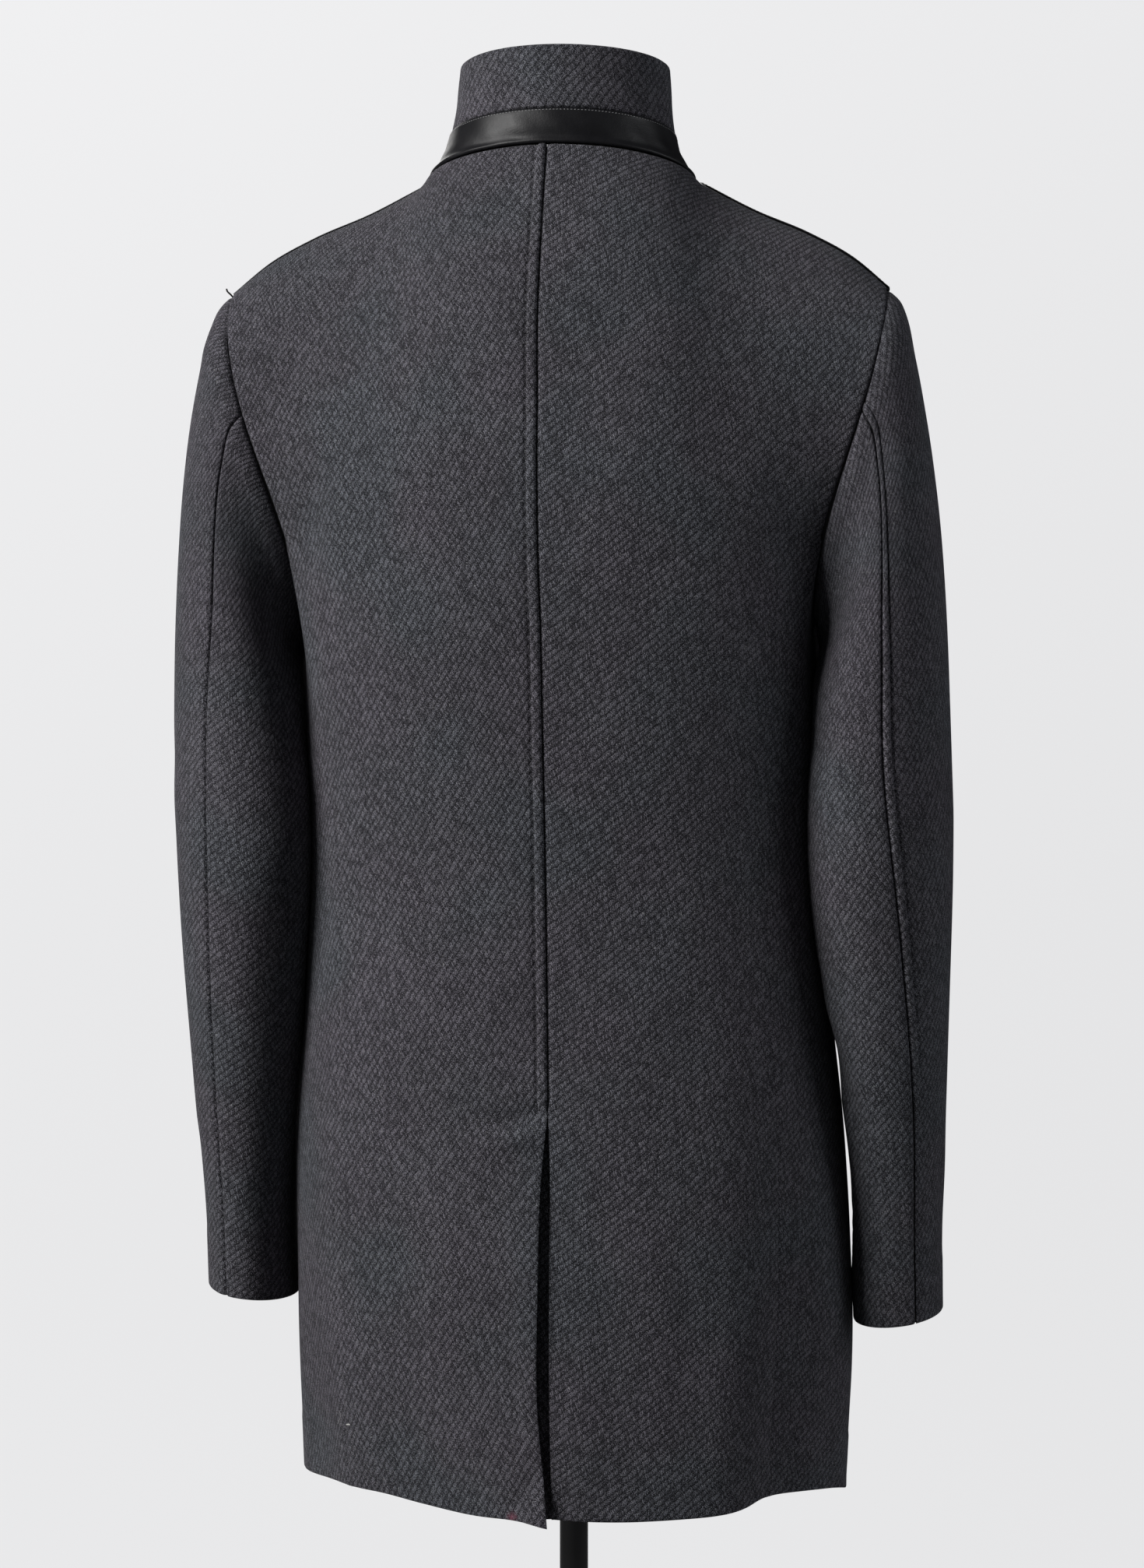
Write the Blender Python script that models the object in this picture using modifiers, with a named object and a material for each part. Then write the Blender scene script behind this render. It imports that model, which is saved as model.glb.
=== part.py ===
"""Long wool coat with a stand collar, worn by a limbless dress form on a pole stand.

Metres, +Z up. The coat's front faces -Y and the wearer's left is +X. The origin is under
the pole, on the floor. Every cloth piece is a wall between two sheets of points: the
outside of the cloth, and the same points moved in by the cloth's thickness. The sheets
are worked out from the garment's level outlines, its armhole, its neckline and its
shoulder line. Pieces that are sewn together share the points of their seam.
"""

import bmesh
import bpy
import numpy as np
from math import pi, radians
from mathutils import Vector

# ---------------------------------------------------------------- driving sizes (metres)
CLOTH = 0.0025            # thickness of the coat's wool
COLLAR_CLOTH = 0.0036     # the stand collar is two layers
LEATHER = 0.0022          # the band round the neck
TRIM = 0.0014             # the leather strip on each shoulder
SEAM_GAP = 0.0005         # how far each piece stops short of its seam, and a turned piece of its neighbour
LAP_GAP = 0.0010          # between two layers that lie on each other

HEM_HEIGHT = 0.628
VENT_TOP = 0.885
SHOULDER_POINT = np.array((0.2175, 0.045, 1.4165))
UNDERARM_POINT = np.array((0.168, 0.020, 1.195))
ARMHOLE_SWELL = 0.012     # how far the back of the armhole stands out sideways
ARMHOLE_SWELL_REACH = 0.12       # and how far down the sleeve that goes on

SEAM_ANGLE = radians(50)        # side-back seam on the level outlines, from the centre back
SEAM_ANGLE_ARMHOLE = radians(68)
FRONT_LINE_ANGLE = radians(110)  # line on the front panel that leads up to the armhole
FRONT_LAP_ANGLE = radians(5.2)   # how far each front passes the centre front
PULL_HEIGHT = 0.16        # the armhole draws the cloth out over this height below it
SEAM_SWING_START = 1.00   # above this level the side-back seam swings forward
VENT_CLOSING = 0.006      # the vent's edges meet within this height above its top
VENT_OPEN_ANGLE = radians(1.1)                   # the right back's fold, from the centre back
UNDERLAP_ANGLES = np.radians((-13, -6.5, 0.15))  # its underlap, from the inner edge to the fold
FOLD_GROWTH = 1.3         # how late a fold of the skirt grows towards the hem (1 is evenly)
HEM_RISE_FADE = 0.2       # height above the hem over which its unevenness dies out
NECK_LAP_ANGLE = radians(14)     # how far the collar and the neckline pass the centre front
NECK_DROP = 1.6           # how late the neckline drops towards the front (1 is evenly)
LAP_LIFT = COLLAR_CLOTH + LAP_GAP                # the left front's height over the right one
LAP_START, LAP_RISE = radians(140), radians(24)  # it lifts from this angle on, over the next
CHEST_TURN, SHOULDER_TURN = radians(55), radians(88)    # arcs over the shoulder, neck and sleeve side
SHOULDER_TURN_SHARE = 0.45       # the second is reached at this share of the way to the sleeve
LEVEL_DRAW, ARC_DRAW = 3, 4      # powers by which the armhole draws a level row and the arcs
MITRE_LIMIT = 0.45
BODY_AXIS, COLLAR_AXIS = np.array((0, 0.020, 0)), np.array((0, 0.035, 0))

# level outlines of the body: height, half width, depth behind and before the centre, the
# centre's place and how square the back and the front are (2 is an ellipse)
BODY_SECTIONS = np.array((
    (0.628, 0.1840, 0.144, 0.140, 0.000, 1.80, 2.10),
    (0.740, 0.1865, 0.146, 0.139, 0.000, 2.00, 2.20),
    (0.840, 0.1850, 0.146, 0.136, 0.000, 2.15, 2.30),
    (0.950, 0.1770, 0.139, 0.130, 0.003, 2.25, 2.30),
    (1.050, 0.1730, 0.134, 0.125, 0.008, 2.30, 2.30),
    (1.150, 0.1725, 0.137, 0.135, 0.014, 2.35, 2.35),
    (1.220, 0.1710, 0.138, 0.137, 0.018, 2.40, 2.35),
    (1.300, 0.1720, 0.136, 0.132, 0.020, 2.40, 2.35),
))

# soft folds of the skirt: the side (1 wearer's left, -1 right), angle from the centre back,
# height of the ridge at the hem, half width in degrees and the level where it has died out
FOLDS = (
    (-1, 37, 0.0060, 8, 1.05),
    (-1, 52, -0.0050, 7, 0.98),
    (-1, 76, 0.0030, 9, 0.90),
    (1, 30, -0.0030, 10, 1.00),
    (1, 46, 0.0040, 9, 1.08),
    (1, 66, -0.0035, 9, 0.95),
    (-1, 124, 0.0050, 9, 0.95),
    (1, 124, 0.0050, 9, 0.95),
    (-1, 146, -0.0040, 9, 0.90),
    (1, 148, -0.0035, 9, 0.92),
)

# the angle from the centre back, and how far the hem rises there on the left and on the right
HEM_RISE = np.array((
    (0, -0.0034, 0.0007),
    (6, -0.0010, 0.0000),
    (20, -0.0010, -0.0013),
    (32, -0.0010, 0.0007),
    (42, 0.0010, 0.0080),
    (54, 0.0045, 0.0080),
    (70, 0.0020, 0.0030),
    (90, 0.0000, -0.0060),
    (140, 0.0000, -0.0010),
    (186, 0.0000, 0.0000),
))

# the shoulder line: share of the way from the neck to the sleeve, x, y and z
SHOULDER_LINE = np.array((
    (0.00, 0.0885, 0.035, 1.4900),
    (0.30, 0.1270, 0.038, 1.4695),
    (0.60, 0.1650, 0.041, 1.4530),
    (0.82, 0.1940, 0.043, 1.4365),
    (1.00, 0.2175, 0.045, 1.4165),
))

# the stand collar and the band below it: level, half width, the place of the back and the
# front, and the height at the back, the sides and the front
COLLAR_SECTIONS = np.array((
    (0.00, 0.0885, 0.1040, -0.0560, 1.5080, 1.4900, 1.4240),
    (0.14, 0.0815, 0.1036, -0.0550, 1.5160, 1.4995, 1.4320),
    (0.34, 0.0764, 0.1030, -0.0535, 1.5270, 1.5130, 1.4440),
    (0.42, 0.0746, 0.1025, -0.0530, 1.5310, 1.5210, 1.4480),
    (0.60, 0.0722, 0.1010, -0.0515, 1.5430, 1.5360, 1.4630),
    (0.82, 0.0708, 0.0995, -0.0500, 1.5595, 1.5520, 1.4800),
    (1.00, 0.0696, 0.0985, -0.0490, 1.5730, 1.5660, 1.4950),
))
BAND_LEVELS = (0.00, 0.14, 0.34, 0.42)
COLLAR_LEVELS = (0.42, 0.60, 0.82, 1.00)

# the sleeve: distance along its outer side, x and z of its outer and its inner point seen from
# behind, the middle's place, how much the outer point leans back, depth behind and in front
SLEEVE_SECTIONS = np.array((
    (0.000, 0.2175, 1.4165, 0.1680, 1.1950, 0.0325, 0.0125, 0.062, 0.066),
    (0.022, 0.2285, 1.4020, 0.1705, 1.1945, 0.0335, 0.0110, 0.063, 0.067),
    (0.055, 0.2365, 1.3720, 0.1735, 1.1900, 0.0350, 0.0090, 0.064, 0.068),
    (0.095, 0.2435, 1.3360, 0.1748, 1.1810, 0.0370, 0.0060, 0.066, 0.069),
    (0.140, 0.2492, 1.2940, 0.1725, 1.1680, 0.0390, 0.0030, 0.067, 0.070),
    (0.190, 0.2540, 1.2450, 0.1690, 1.1510, 0.0410, -0.0020, 0.068, 0.070),
    (0.235, 0.2568, 1.2000, 0.1670, 1.1300, 0.0430, -0.0060, 0.067, 0.069),
    (0.285, 0.2584, 1.1500, 0.1640, 1.1030, 0.0440, -0.0080, 0.065, 0.067),
    (0.335, 0.2590, 1.1000, 0.1620, 1.0720, 0.0440, -0.0080, 0.063, 0.065),
    (0.390, 0.2584, 1.0450, 0.1630, 1.0340, 0.0420, -0.0080, 0.061, 0.063),
    (0.445, 0.2568, 0.9900, 0.1675, 0.9840, 0.0360, -0.0060, 0.059, 0.060),
    (0.505, 0.2545, 0.9300, 0.1750, 0.9250, 0.0260, -0.0040, 0.057, 0.057),
    (0.565, 0.2518, 0.8700, 0.1815, 0.8640, 0.0140, -0.0020, 0.055, 0.055),
    (0.625, 0.2482, 0.8100, 0.1875, 0.8020, 0.0040, 0.0000, 0.053, 0.053),
    (0.688, 0.2480, 0.7470, 0.1885, 0.7390, -0.0040, 0.0000, 0.052, 0.052),
))
# distance along the sleeve, and how many degrees its back seam is turned outwards there, on
# the left and on the right
SLEEVE_SEAM_TURN = np.array((
    (0.000, 0.0, 0.0),
    (0.060, -1.0, -4.0),
    (0.125, -2.5, -8.0),
    (0.190, -3.5, -11.0),
    (0.290, 3.5, -11.5),
    (0.447, 7.5, 2.0),
    (0.560, 7.5, 10.0),
    (0.688, 6.0, 9.5),
))
SLEEVE_REST_GAP = 0.0020         # the sleeve rests against the body this far off it
HIP_GAP = {1: 0.0, -1: 0.0070}   # and hangs this much further off it at the hip
HIP_GAP_LEVEL, HIP_GAP_SPREAD = 0.885, 0.100
REST_REACH = (0.06, 0.14)        # it comes to rest between these distances along it
CUFF_DROP = {1: -0.0040, -1: 0.0065}    # the left sleeve is drawn up, the right hangs lower

# height, and how far the coat hangs off the pole there, towards the wearer's left
SWAY = np.array((
    (0.60, -0.0015),
    (0.90, 0.0028),
    (1.15, 0.0060),
    (1.35, 0.0070),
    (1.50, 0.0040),
    (1.58, 0.0025),
))

# pocket flap, on the front panel beside the hip
FLAP_TOP, FLAP_DROP, FLAP_CORNER, FLAP_CLOTH = 0.985, 0.066, 0.010, 0.0040
FLAP_BACK_ANGLE, FLAP_SPAN = radians(96.5), radians(43)
FLAP_GAP = 0.0008
FLAP_SWING = 0.0035       # how far its lower edge stands off the coat
FLAP_ROUNDING_START = 0.72       # share of the half width where the lower corners start to round
FLAP_COLUMNS, FLAP_ROWS = 10, 3

STRIP_WIDTH, STRIP_GAP = 0.012, 0.0006
STRIP_START, STRIP_TRIM = 0.06, 0.04     # shares that it stops short of its seam and of its ends

BUTTON_RADIUS, BUTTON_HEIGHT = 0.014, 0.0042
BUTTON_PROFILE = (        # radius and height, from the middle of its back to that of its face
    (0.0, 0.0), (0.0105, 0.0), (0.0132, 0.0010), (BUTTON_RADIUS, 0.0022), (0.0134, 0.0036),
    (0.0118, BUTTON_HEIGHT), (0.0100, 0.0033), (0.0, 0.0028),
)
BUTTON_HOLE, BUTTON_HOLE_OFFSET, BUTTON_HOLES = 0.0011, 0.0036, 4
BUTTON_SHANK = 0.0015     # the thread holds it this far off the cloth
BUTTON_LEVELS = (1.350, 1.225, 1.095, 0.965)

# the dress form: height, half width, depth behind and before the centre, the centre's place
FORM_SECTIONS = np.array((
    (0.850, 0.1600, 0.122, 0.112, 0.000),
    (0.880, 0.1640, 0.126, 0.115, 0.000),
    (0.950, 0.1580, 0.122, 0.110, 0.003),
    (1.050, 0.1480, 0.114, 0.105, 0.008),
    (1.150, 0.1530, 0.120, 0.116, 0.014),
    (1.230, 0.1560, 0.122, 0.119, 0.018),
    (1.310, 0.1580, 0.113, 0.108, 0.026),
    (1.370, 0.1620, 0.092, 0.086, 0.034),
    (1.408, 0.1600, 0.067, 0.063, 0.038),
    (1.434, 0.1400, 0.052, 0.051, 0.038),
    (1.455, 0.1100, 0.049, 0.052, 0.035),
    (1.472, 0.0820, 0.049, 0.054, 0.030),
    (1.484, 0.0650, 0.050, 0.053, 0.028),
    (1.500, 0.0590, 0.050, 0.051, 0.028),
))
FORM_SQUARE = 2.25

POLE_RADIUS = 0.0095
BASE_RADIUS, BASE_THICKNESS = 0.175, 0.008
BASE_BOSS_RADIUS, BASE_BOSS_HEIGHT = 0.026, 0.040
BASE_RIM, BASE_SOCKET = 0.003, 0.004      # bevel of its edges, depth at which the pole stands in it
FLANGE_RADIUS, FLANGE_THICKNESS = 0.045, 0.006

# ---------------------------------------------------------------- how finely things are cut
ARMHOLE_STEPS = 24        # round the armhole and the sleeve
CUT_BACK, CUT_FRONT = 8, 16      # where the armhole meets the side-back seam and the front's line
SLEEVE_CUT_BACK, SLEEVE_CUT_FRONT = 5, 17    # the sleeve's two seams, from the shoulder point
NECK_STEPS, SHOULDER_STEPS = 6, 6
CENTRE_TO_EDGE = NECK_STEPS + SHOULDER_STEPS
VENT_ROWS, CHEST_ROWS = 6, 9
UPPER_ROWS = CUT_BACK
SLEEVE_REACHES = (0, 0.022, 0.055, 0.095, 0.140, 0.190, 0.245, 0.305, 0.365, 0.430, 0.495, 0.560, 0.624, 0.688)
FORM_STEPS, POLE_STEPS, BASE_STEPS, BUTTON_STEPS, HOLE_STEPS = 36, 24, 48, 20, 8
SMOOTH_ANGLE = radians(40)
SAME_PLACE_DIGITS = 5     # points that agree to this many decimals are one point of a seam
JUNCTION_HEIGHT = float((SHOULDER_POINT + UNDERARM_POINT)[2] / 2
                        + (SHOULDER_POINT - UNDERARM_POINT)[2] / 2 * np.cos(2 * pi * CUT_BACK / ARMHOLE_STEPS))

COLLECTION = bpy.data.collections.new("long_coat")
CUTTERS = bpy.data.collections.new("cutters")


# ---------------------------------------------------------------- curves and outlines
def smooth_rows(table, at):
    """The table's other columns at the given values of its first, on smooth curves."""
    place, values = table[:, 0], table[:, 1:]
    slope = np.gradient(values, place, axis=0)
    at = np.clip(np.asarray(at, float), place[0], place[-1])
    low = np.clip(np.searchsorted(place, at, side="right") - 1, 0, len(place) - 2)
    span = (place[low + 1] - place[low])[..., None]
    share = (at[..., None] - place[low][..., None]) / span
    start, end = values[low], values[low + 1]
    curve = ((2 * share ** 3 - 3 * share ** 2 + 1) * start + (3 * share ** 2 - 2 * share ** 3) * end
             + (share ** 3 - 2 * share ** 2 + share) * slope[low] * span
             + (share ** 3 - share ** 2) * slope[low + 1] * span)
    return np.moveaxis(curve, -1, 0)


def ease(share):
    """0 to 1 with a soft start and end."""
    share = np.clip(share, 0, 1)
    return share * share * (3 - 2 * share)


def signed_power(value, power):
    return np.sign(value) * np.abs(value) ** power


def level_outline(angle, height, half_width, back, front, centre, back_square, front_square):
    """A point of a level outline: angle 0 at the centre back, pi at the centre front."""
    behind = np.cos(angle) > 0
    power = 2 / np.where(behind, back_square, front_square)
    x = half_width * signed_power(np.sin(angle), power)
    y = centre + np.where(behind, back, front) * signed_power(np.cos(angle), power)
    return np.stack(np.broadcast_arrays(x, y, height), -1)


def body_point(angle, height):
    angle, height = np.broadcast_arrays(np.asarray(angle, float), np.asarray(height, float))
    return level_outline(angle, height, *smooth_rows(BODY_SECTIONS, height))


def sleeve_point(reach, angle):
    """A point of the sleeve's outside: angle 0 along its outer side, pi/2 at the back."""
    reach, angle = np.broadcast_arrays(np.asarray(reach, float), np.asarray(angle, float))
    outer_x, outer_z, inner_x, inner_z, middle, lean, back, front = smooth_rows(SLEEVE_SECTIONS, reach)
    cosine, sine = np.cos(angle), np.sin(angle)
    swell = ARMHOLE_SWELL * sine ** 2 * cosine * ease(1 - reach / ARMHOLE_SWELL_REACH) * (sine > 0)
    x = (outer_x + inner_x) / 2 + (outer_x - inner_x) / 2 * cosine + swell
    y = middle + lean * cosine + np.where(sine > 0, back, front) * sine
    z = (outer_z + inner_z) / 2 + (outer_z - inner_z) / 2 * cosine
    return np.stack((x, y, z), -1)


def body_half_width(points):
    """How far out the body's side is at the depth and the height of the given points."""
    half_width, back, front, centre, back_square, front_square = smooth_rows(BODY_SECTIONS, points[..., 2])
    behind = points[..., 1] > centre
    share = np.clip(np.abs(points[..., 1] - centre) / np.where(behind, back, front), 0, 1)
    square = np.where(behind, back_square, front_square)
    return half_width * (1 - share ** square) ** (1 / square)


def armhole_angles(first, last):
    return np.linspace(first, last, abs(last - first) + 1) * 2 * pi / ARMHOLE_STEPS


def armhole(first, last):
    """The armhole seam from one step to another: step 0 is the shoulder point."""
    return sleeve_point(0.0, armhole_angles(first, last))


def lap_weight(angle):
    """How fully the left front is lifted over the right one, by the angle round the neck."""
    return ease((np.abs(angle) - LAP_START) / LAP_RISE) * (angle > 0)


def collar_point(level, angle, lift):
    """A point of the collar's outside: angle 0 at the back, pi at the front.

    lift is how far its left end stands out, where it passes over the right end.
    """
    level, angle = np.broadcast_arrays(np.asarray(level, float), np.asarray(angle, float))
    half_width, back, front, z_back, z_side, z_front = smooth_rows(COLLAR_SECTIONS, level)
    cosine, sine = np.cos(angle), np.sin(angle)
    outwards = lift * lap_weight(angle)
    x = (half_width + outwards) * sine
    centre = COLLAR_AXIS[1]
    y = centre + np.where(cosine > 0, back - centre, centre - front + outwards) * cosine
    forward = np.clip(-cosine, 0, 1) ** NECK_DROP
    z = z_side + (z_back - z_side) * np.clip(cosine, 0, 1) + (z_front - z_side) * forward
    return np.stack((x, y, z), -1)


def hem_rise(angle, side):
    left, right = smooth_rows(HEM_RISE, np.degrees(np.abs(angle)))
    return left if side > 0 else right


def fold_height(angle, height, side):
    """How far the cloth stands out in the skirt's soft folds."""
    total = np.zeros(np.broadcast(angle, height).shape)
    for fold_side, fold_angle, ridge, half_width, top in FOLDS:
        if fold_side == side:
            across = np.exp(-((np.degrees(angle) - fold_angle) / half_width) ** 2)
            total = total + ridge * across * ease((top - height) / (top - HEM_HEIGHT)) ** FOLD_GROWTH
    return total


def hung(points, side):
    """The points where the coat hangs; side -1 takes and gives them mirrored."""
    sway, = smooth_rows(SWAY, points[..., 2])
    return points + np.stack((side * sway, 0 * sway, 0 * sway), -1)


# ---------------------------------------------------------------- sheets of points
def seam_angle(heights):
    """The side-back seam's angle: it swings forward as it nears the armhole."""
    swing = ease((heights - SEAM_SWING_START) / (JUNCTION_HEIGHT - SEAM_SWING_START))
    return SEAM_ANGLE + (SEAM_ANGLE_ARMHOLE - SEAM_ANGLE) * swing


def row_heights():
    below = np.linspace(HEM_HEIGHT, VENT_TOP, VENT_ROWS + 1)
    above = np.linspace(VENT_TOP + VENT_CLOSING, JUNCTION_HEIGHT, CHEST_ROWS + 1)
    return np.concatenate((below, above))


def outwards_normal(angles):
    return np.stack((np.sin(angles), np.cos(angles), np.zeros(np.shape(angles))), -1)


def lower_sheet(angles, heights, top_row, side, lift=0.0):
    """Rows from the hem up to the given top row, which draws the rows below it."""
    level = np.broadcast_to(heights[:, None], angles.shape)
    stands_out = fold_height(angles, level, side) + lift
    points = body_point(angles, level) + outwards_normal(angles) * stands_out[..., None]
    points[..., 2] += hem_rise(angles, side) * (1 - ease((level - HEM_HEIGHT) / HEM_RISE_FADE))
    pull = np.clip(1 - (JUNCTION_HEIGHT - level) / PULL_HEIGHT, 0, 1) ** 2
    return points + (top_row - points[-1])[None] * pull[..., None]


def upper_sheet(low, top, edge, share):
    """Rows from the chest up over the shoulder: each column is an arc from low to top.

    share is each column's place between the centre and the armhole.
    """
    turn = CHEST_TURN + (SHOULDER_TURN - CHEST_TURN) * ease(share / SHOULDER_TURN_SHARE)
    row = np.linspace(0, 1, UPPER_ROWS + 1)[:, None]
    rise = np.sin(turn * row) / np.sin(turn)
    reach = (np.cos(turn * row) - np.cos(turn)) / (1 - np.cos(turn))
    x = low[:, 0] + (top[:, 0] - low[:, 0]) * row
    y = top[:, 1] + (low[:, 1] - top[:, 1]) * reach
    z = low[:, 2] + (top[:, 2] - low[:, 2]) * rise
    points = np.stack(np.broadcast_arrays(x, y, z), -1)
    return points + (edge - points[:, -1])[:, None] * (share ** ARC_DRAW)[None, :, None]


def drawn_row(angles, corner, share, lift=0.0):
    """The row at the junction's height, drawn to the armhole's corner at its last point."""
    row = body_point(angles, JUNCTION_HEIGHT)
    row = row + outwards_normal(angles) * np.broadcast_to(lift, angles.shape)[..., None]
    return row + (corner - row[-1]) * (share ** LEVEL_DRAW)[:, None]


def top_edge(neck_angles, lift):
    """Along the neckline to the shoulder, then along the shoulder line to the sleeve."""
    share = np.linspace(0, 1, SHOULDER_STEPS + 1)[1:]
    shoulder = np.moveaxis(smooth_rows(SHOULDER_LINE, share), 0, -1)
    return np.concatenate((collar_point(0.0, neck_angles, lift), shoulder))


def back_sheet(side):
    """A back panel from the centre back to the side-back seam and the armhole.

    The right one goes on below the vent's top, folded in and under the left one.
    """
    heights = row_heights()
    share = np.linspace(0, 1, CENTRE_TO_EDGE + 1)
    angles = share[None, :] * seam_angle(heights)[:, None]
    corner = armhole(CUT_BACK, CUT_BACK)[0]
    if side < 0:
        angles[:VENT_ROWS + 1, 0] = VENT_OPEN_ANGLE
    lower = lower_sheet(angles, heights, drawn_row(angles[-1], corner, share), side)
    top = top_edge(np.linspace(0, pi / 2, NECK_STEPS + 1), 0.0)
    upper = upper_sheet(lower[-1], top, armhole(CUT_BACK, 0), share)
    sheet = np.concatenate((lower, upper[1:]))
    if side > 0:
        return hung(sheet, side)
    under_angles = np.broadcast_to(UNDERLAP_ANGLES, (VENT_ROWS + 1, len(UNDERLAP_ANGLES)))
    level = np.broadcast_to(heights[:VENT_ROWS + 1, None], under_angles.shape)
    underlap = body_point(under_angles, level) - outwards_normal(under_angles) * (CLOTH + LAP_GAP)
    underlap[..., 2] += hem_rise(under_angles, side) * (1 - ease((level - HEM_HEIGHT) / HEM_RISE_FADE))
    empty = np.full((len(sheet) - VENT_ROWS - 1, len(UNDERLAP_ANGLES), 3), np.nan)
    return hung(np.concatenate((np.concatenate((underlap, empty)), sheet), axis=1), side)


def front_sheet(side):
    """A front panel from past the centre front to the armhole, and on under the arm."""
    heights = row_heights()
    neck = np.concatenate(((pi + NECK_LAP_ANGLE,), np.linspace(pi, pi / 2, NECK_STEPS + 1)))
    share = np.concatenate(((0,), np.linspace(0, 1, CENTRE_TO_EDGE + 1)))
    across = pi + (FRONT_LINE_ANGLE - pi) * share
    across[0] += FRONT_LAP_ANGLE
    angles = np.broadcast_to(across, (len(heights), len(across)))
    lap = LAP_LIFT if side > 0 else 0.0
    lift = np.zeros(len(share))
    lift[:len(neck)] = lap * lap_weight(neck)
    corner = armhole(CUT_FRONT, CUT_FRONT)[0]
    lower = lower_sheet(angles, heights, drawn_row(across, corner, share, lift), side, lift)
    upper = upper_sheet(lower[-1], top_edge(neck, lap), armhole(CUT_FRONT, ARMHOLE_STEPS), share)

    under_share = np.linspace(0, 1, CUT_FRONT - CUT_BACK + 1)[1:]
    under_angles = FRONT_LINE_ANGLE + (seam_angle(heights)[:, None] - FRONT_LINE_ANGLE) * under_share
    under = lower_sheet(under_angles, heights, armhole(CUT_FRONT, CUT_BACK)[1:], side)
    empty = np.full((UPPER_ROWS, len(under_share), 3), np.nan)
    sheet = np.concatenate((np.concatenate((lower, upper[1:])), np.concatenate((under, empty))), axis=1)
    return hung(sheet, side)


def sleeve_sheet(side, first, last):
    """Part of the sleeve: columns from one step of the armhole to another."""
    reach, angles = np.array(SLEEVE_REACHES)[:, None], armhole_angles(first, last)[None, :]
    left, right = smooth_rows(SLEEVE_SEAM_TURN, reach)
    turn = np.radians(left if side > 0 else right)
    sheet = sleeve_point(reach, angles - turn * np.maximum(np.sin(angles), 0))
    rests = ease((reach - REST_REACH[0]) / (REST_REACH[1] - REST_REACH[0]))
    hip_gap = HIP_GAP[side] * np.exp(-((sheet[..., 2] - HIP_GAP_LEVEL) / HIP_GAP_SPREAD) ** 4)
    inside = np.maximum(body_half_width(sheet) + SLEEVE_REST_GAP + hip_gap - sheet[..., 0], 0)
    sheet[..., 0] += inside * rests
    sheet[..., 2] -= CUFF_DROP[side] * (reach / SLEEVE_REACHES[-1]) ** 2
    return hung(sheet, side)


def collar_sheet(levels):
    end = pi + NECK_LAP_ANGLE
    angles = np.concatenate(((-end,), np.linspace(-pi, pi, 4 * NECK_STEPS + 1), (end,)))
    return hung(collar_point(np.array(levels)[:, None], angles[None, :], LAP_LIFT), 1)


# ---------------------------------------------------------------- walls
def sheet_normals(points, centre):
    """A unit normal at each point, the average of the cells round it, away from the centre."""
    a, b, c, d = points[:-1, :-1], points[:-1, 1:], points[1:, 1:], points[1:, :-1]
    cell = np.nan_to_num(np.cross(c - a, d - b))
    total = np.zeros(points.shape)
    for rows in (slice(0, -1), slice(1, None)):
        for columns in (slice(0, -1), slice(1, None)):
            total[rows, columns] += cell
    length = np.linalg.norm(total, axis=-1, keepdims=True)
    normals = total / np.where(length > 0, length, 1)
    away = np.nansum((points - centre) * normals * (1, 1, 0))
    return normals if away > 0 else -normals


def places(points):
    """Each point of a sheet as a tuple, the same for points that coincide."""
    return [tuple(place) for place in np.round(np.nan_to_num(points), SAME_PLACE_DIGITS).reshape(-1, 3).tolist()]


def seam_normals(sheets):
    """For each sheet, normals that are shared wherever points of several sheets coincide.

    Their length is the cosine between them and the sheets' own normals.
    """
    gathered = {}
    for points, normals in sheets:
        for place, normal in zip(places(points), normals.reshape(-1, 3)):
            total, count = gathered.get(place, (0, 0))
            gathered[place] = total + normal, count + 1
    mean = {place: total / count for place, (total, count) in gathered.items()}
    return [np.array([mean[place] for place in places(points)]).reshape(points.shape) for points, _ in sheets]


def opened(points, gap):
    """The sheet with its outermost points moved in a little, so that seams stay open."""
    padded = np.pad(points, ((1, 1), (1, 1), (0, 0)), constant_values=np.nan)
    moved = points.copy()
    neighbours = (padded[2:, 1:-1], padded[:-2, 1:-1]), (padded[1:-1, 2:], padded[1:-1, :-2])
    for pair in neighbours:
        for missing, inner in (pair, pair[::-1]):
            step = inner - points
            step = step / np.linalg.norm(step, axis=-1, keepdims=True)
            moved += np.where(np.isnan(missing), np.nan_to_num(step), 0) * gap
    return moved


def wall(name, outer, inner, material):
    """A closed wall between two sheets of points. Empty points leave a part of it out."""
    rows, columns = outer.shape[:2]
    bm = bmesh.new()
    bmesh.ops.create_grid(bm, x_segments=columns - 1, y_segments=rows - 1, size=1)
    place = bm.verts.layers.int.new("place")
    for vert in bm.verts:
        row = round((vert.co.y + 1) / 2 * (rows - 1))
        vert[place] = row * columns + round((vert.co.x + 1) / 2 * (columns - 1))
    outer, inner = outer.reshape(-1, 3), inner.reshape(-1, 3)
    unused = [vert for vert in bm.verts if np.isnan(outer[vert[place], 0])]
    bmesh.ops.delete(bm, geom=unused, context="VERTS")
    extruded = bmesh.ops.extrude_face_region(bm, geom=bm.faces[:], use_keep_orig=True)
    far = {item for item in extruded["geom"] if isinstance(item, bmesh.types.BMVert)}
    for vert in bm.verts:
        vert.co = (inner if vert in far else outer)[vert[place]]
    bmesh.ops.recalc_face_normals(bm, faces=bm.faces[:])
    if bm.calc_volume(signed=True) < 0:
        bmesh.ops.reverse_faces(bm, faces=bm.faces[:])
    return finish(name, bm, material)


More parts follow.
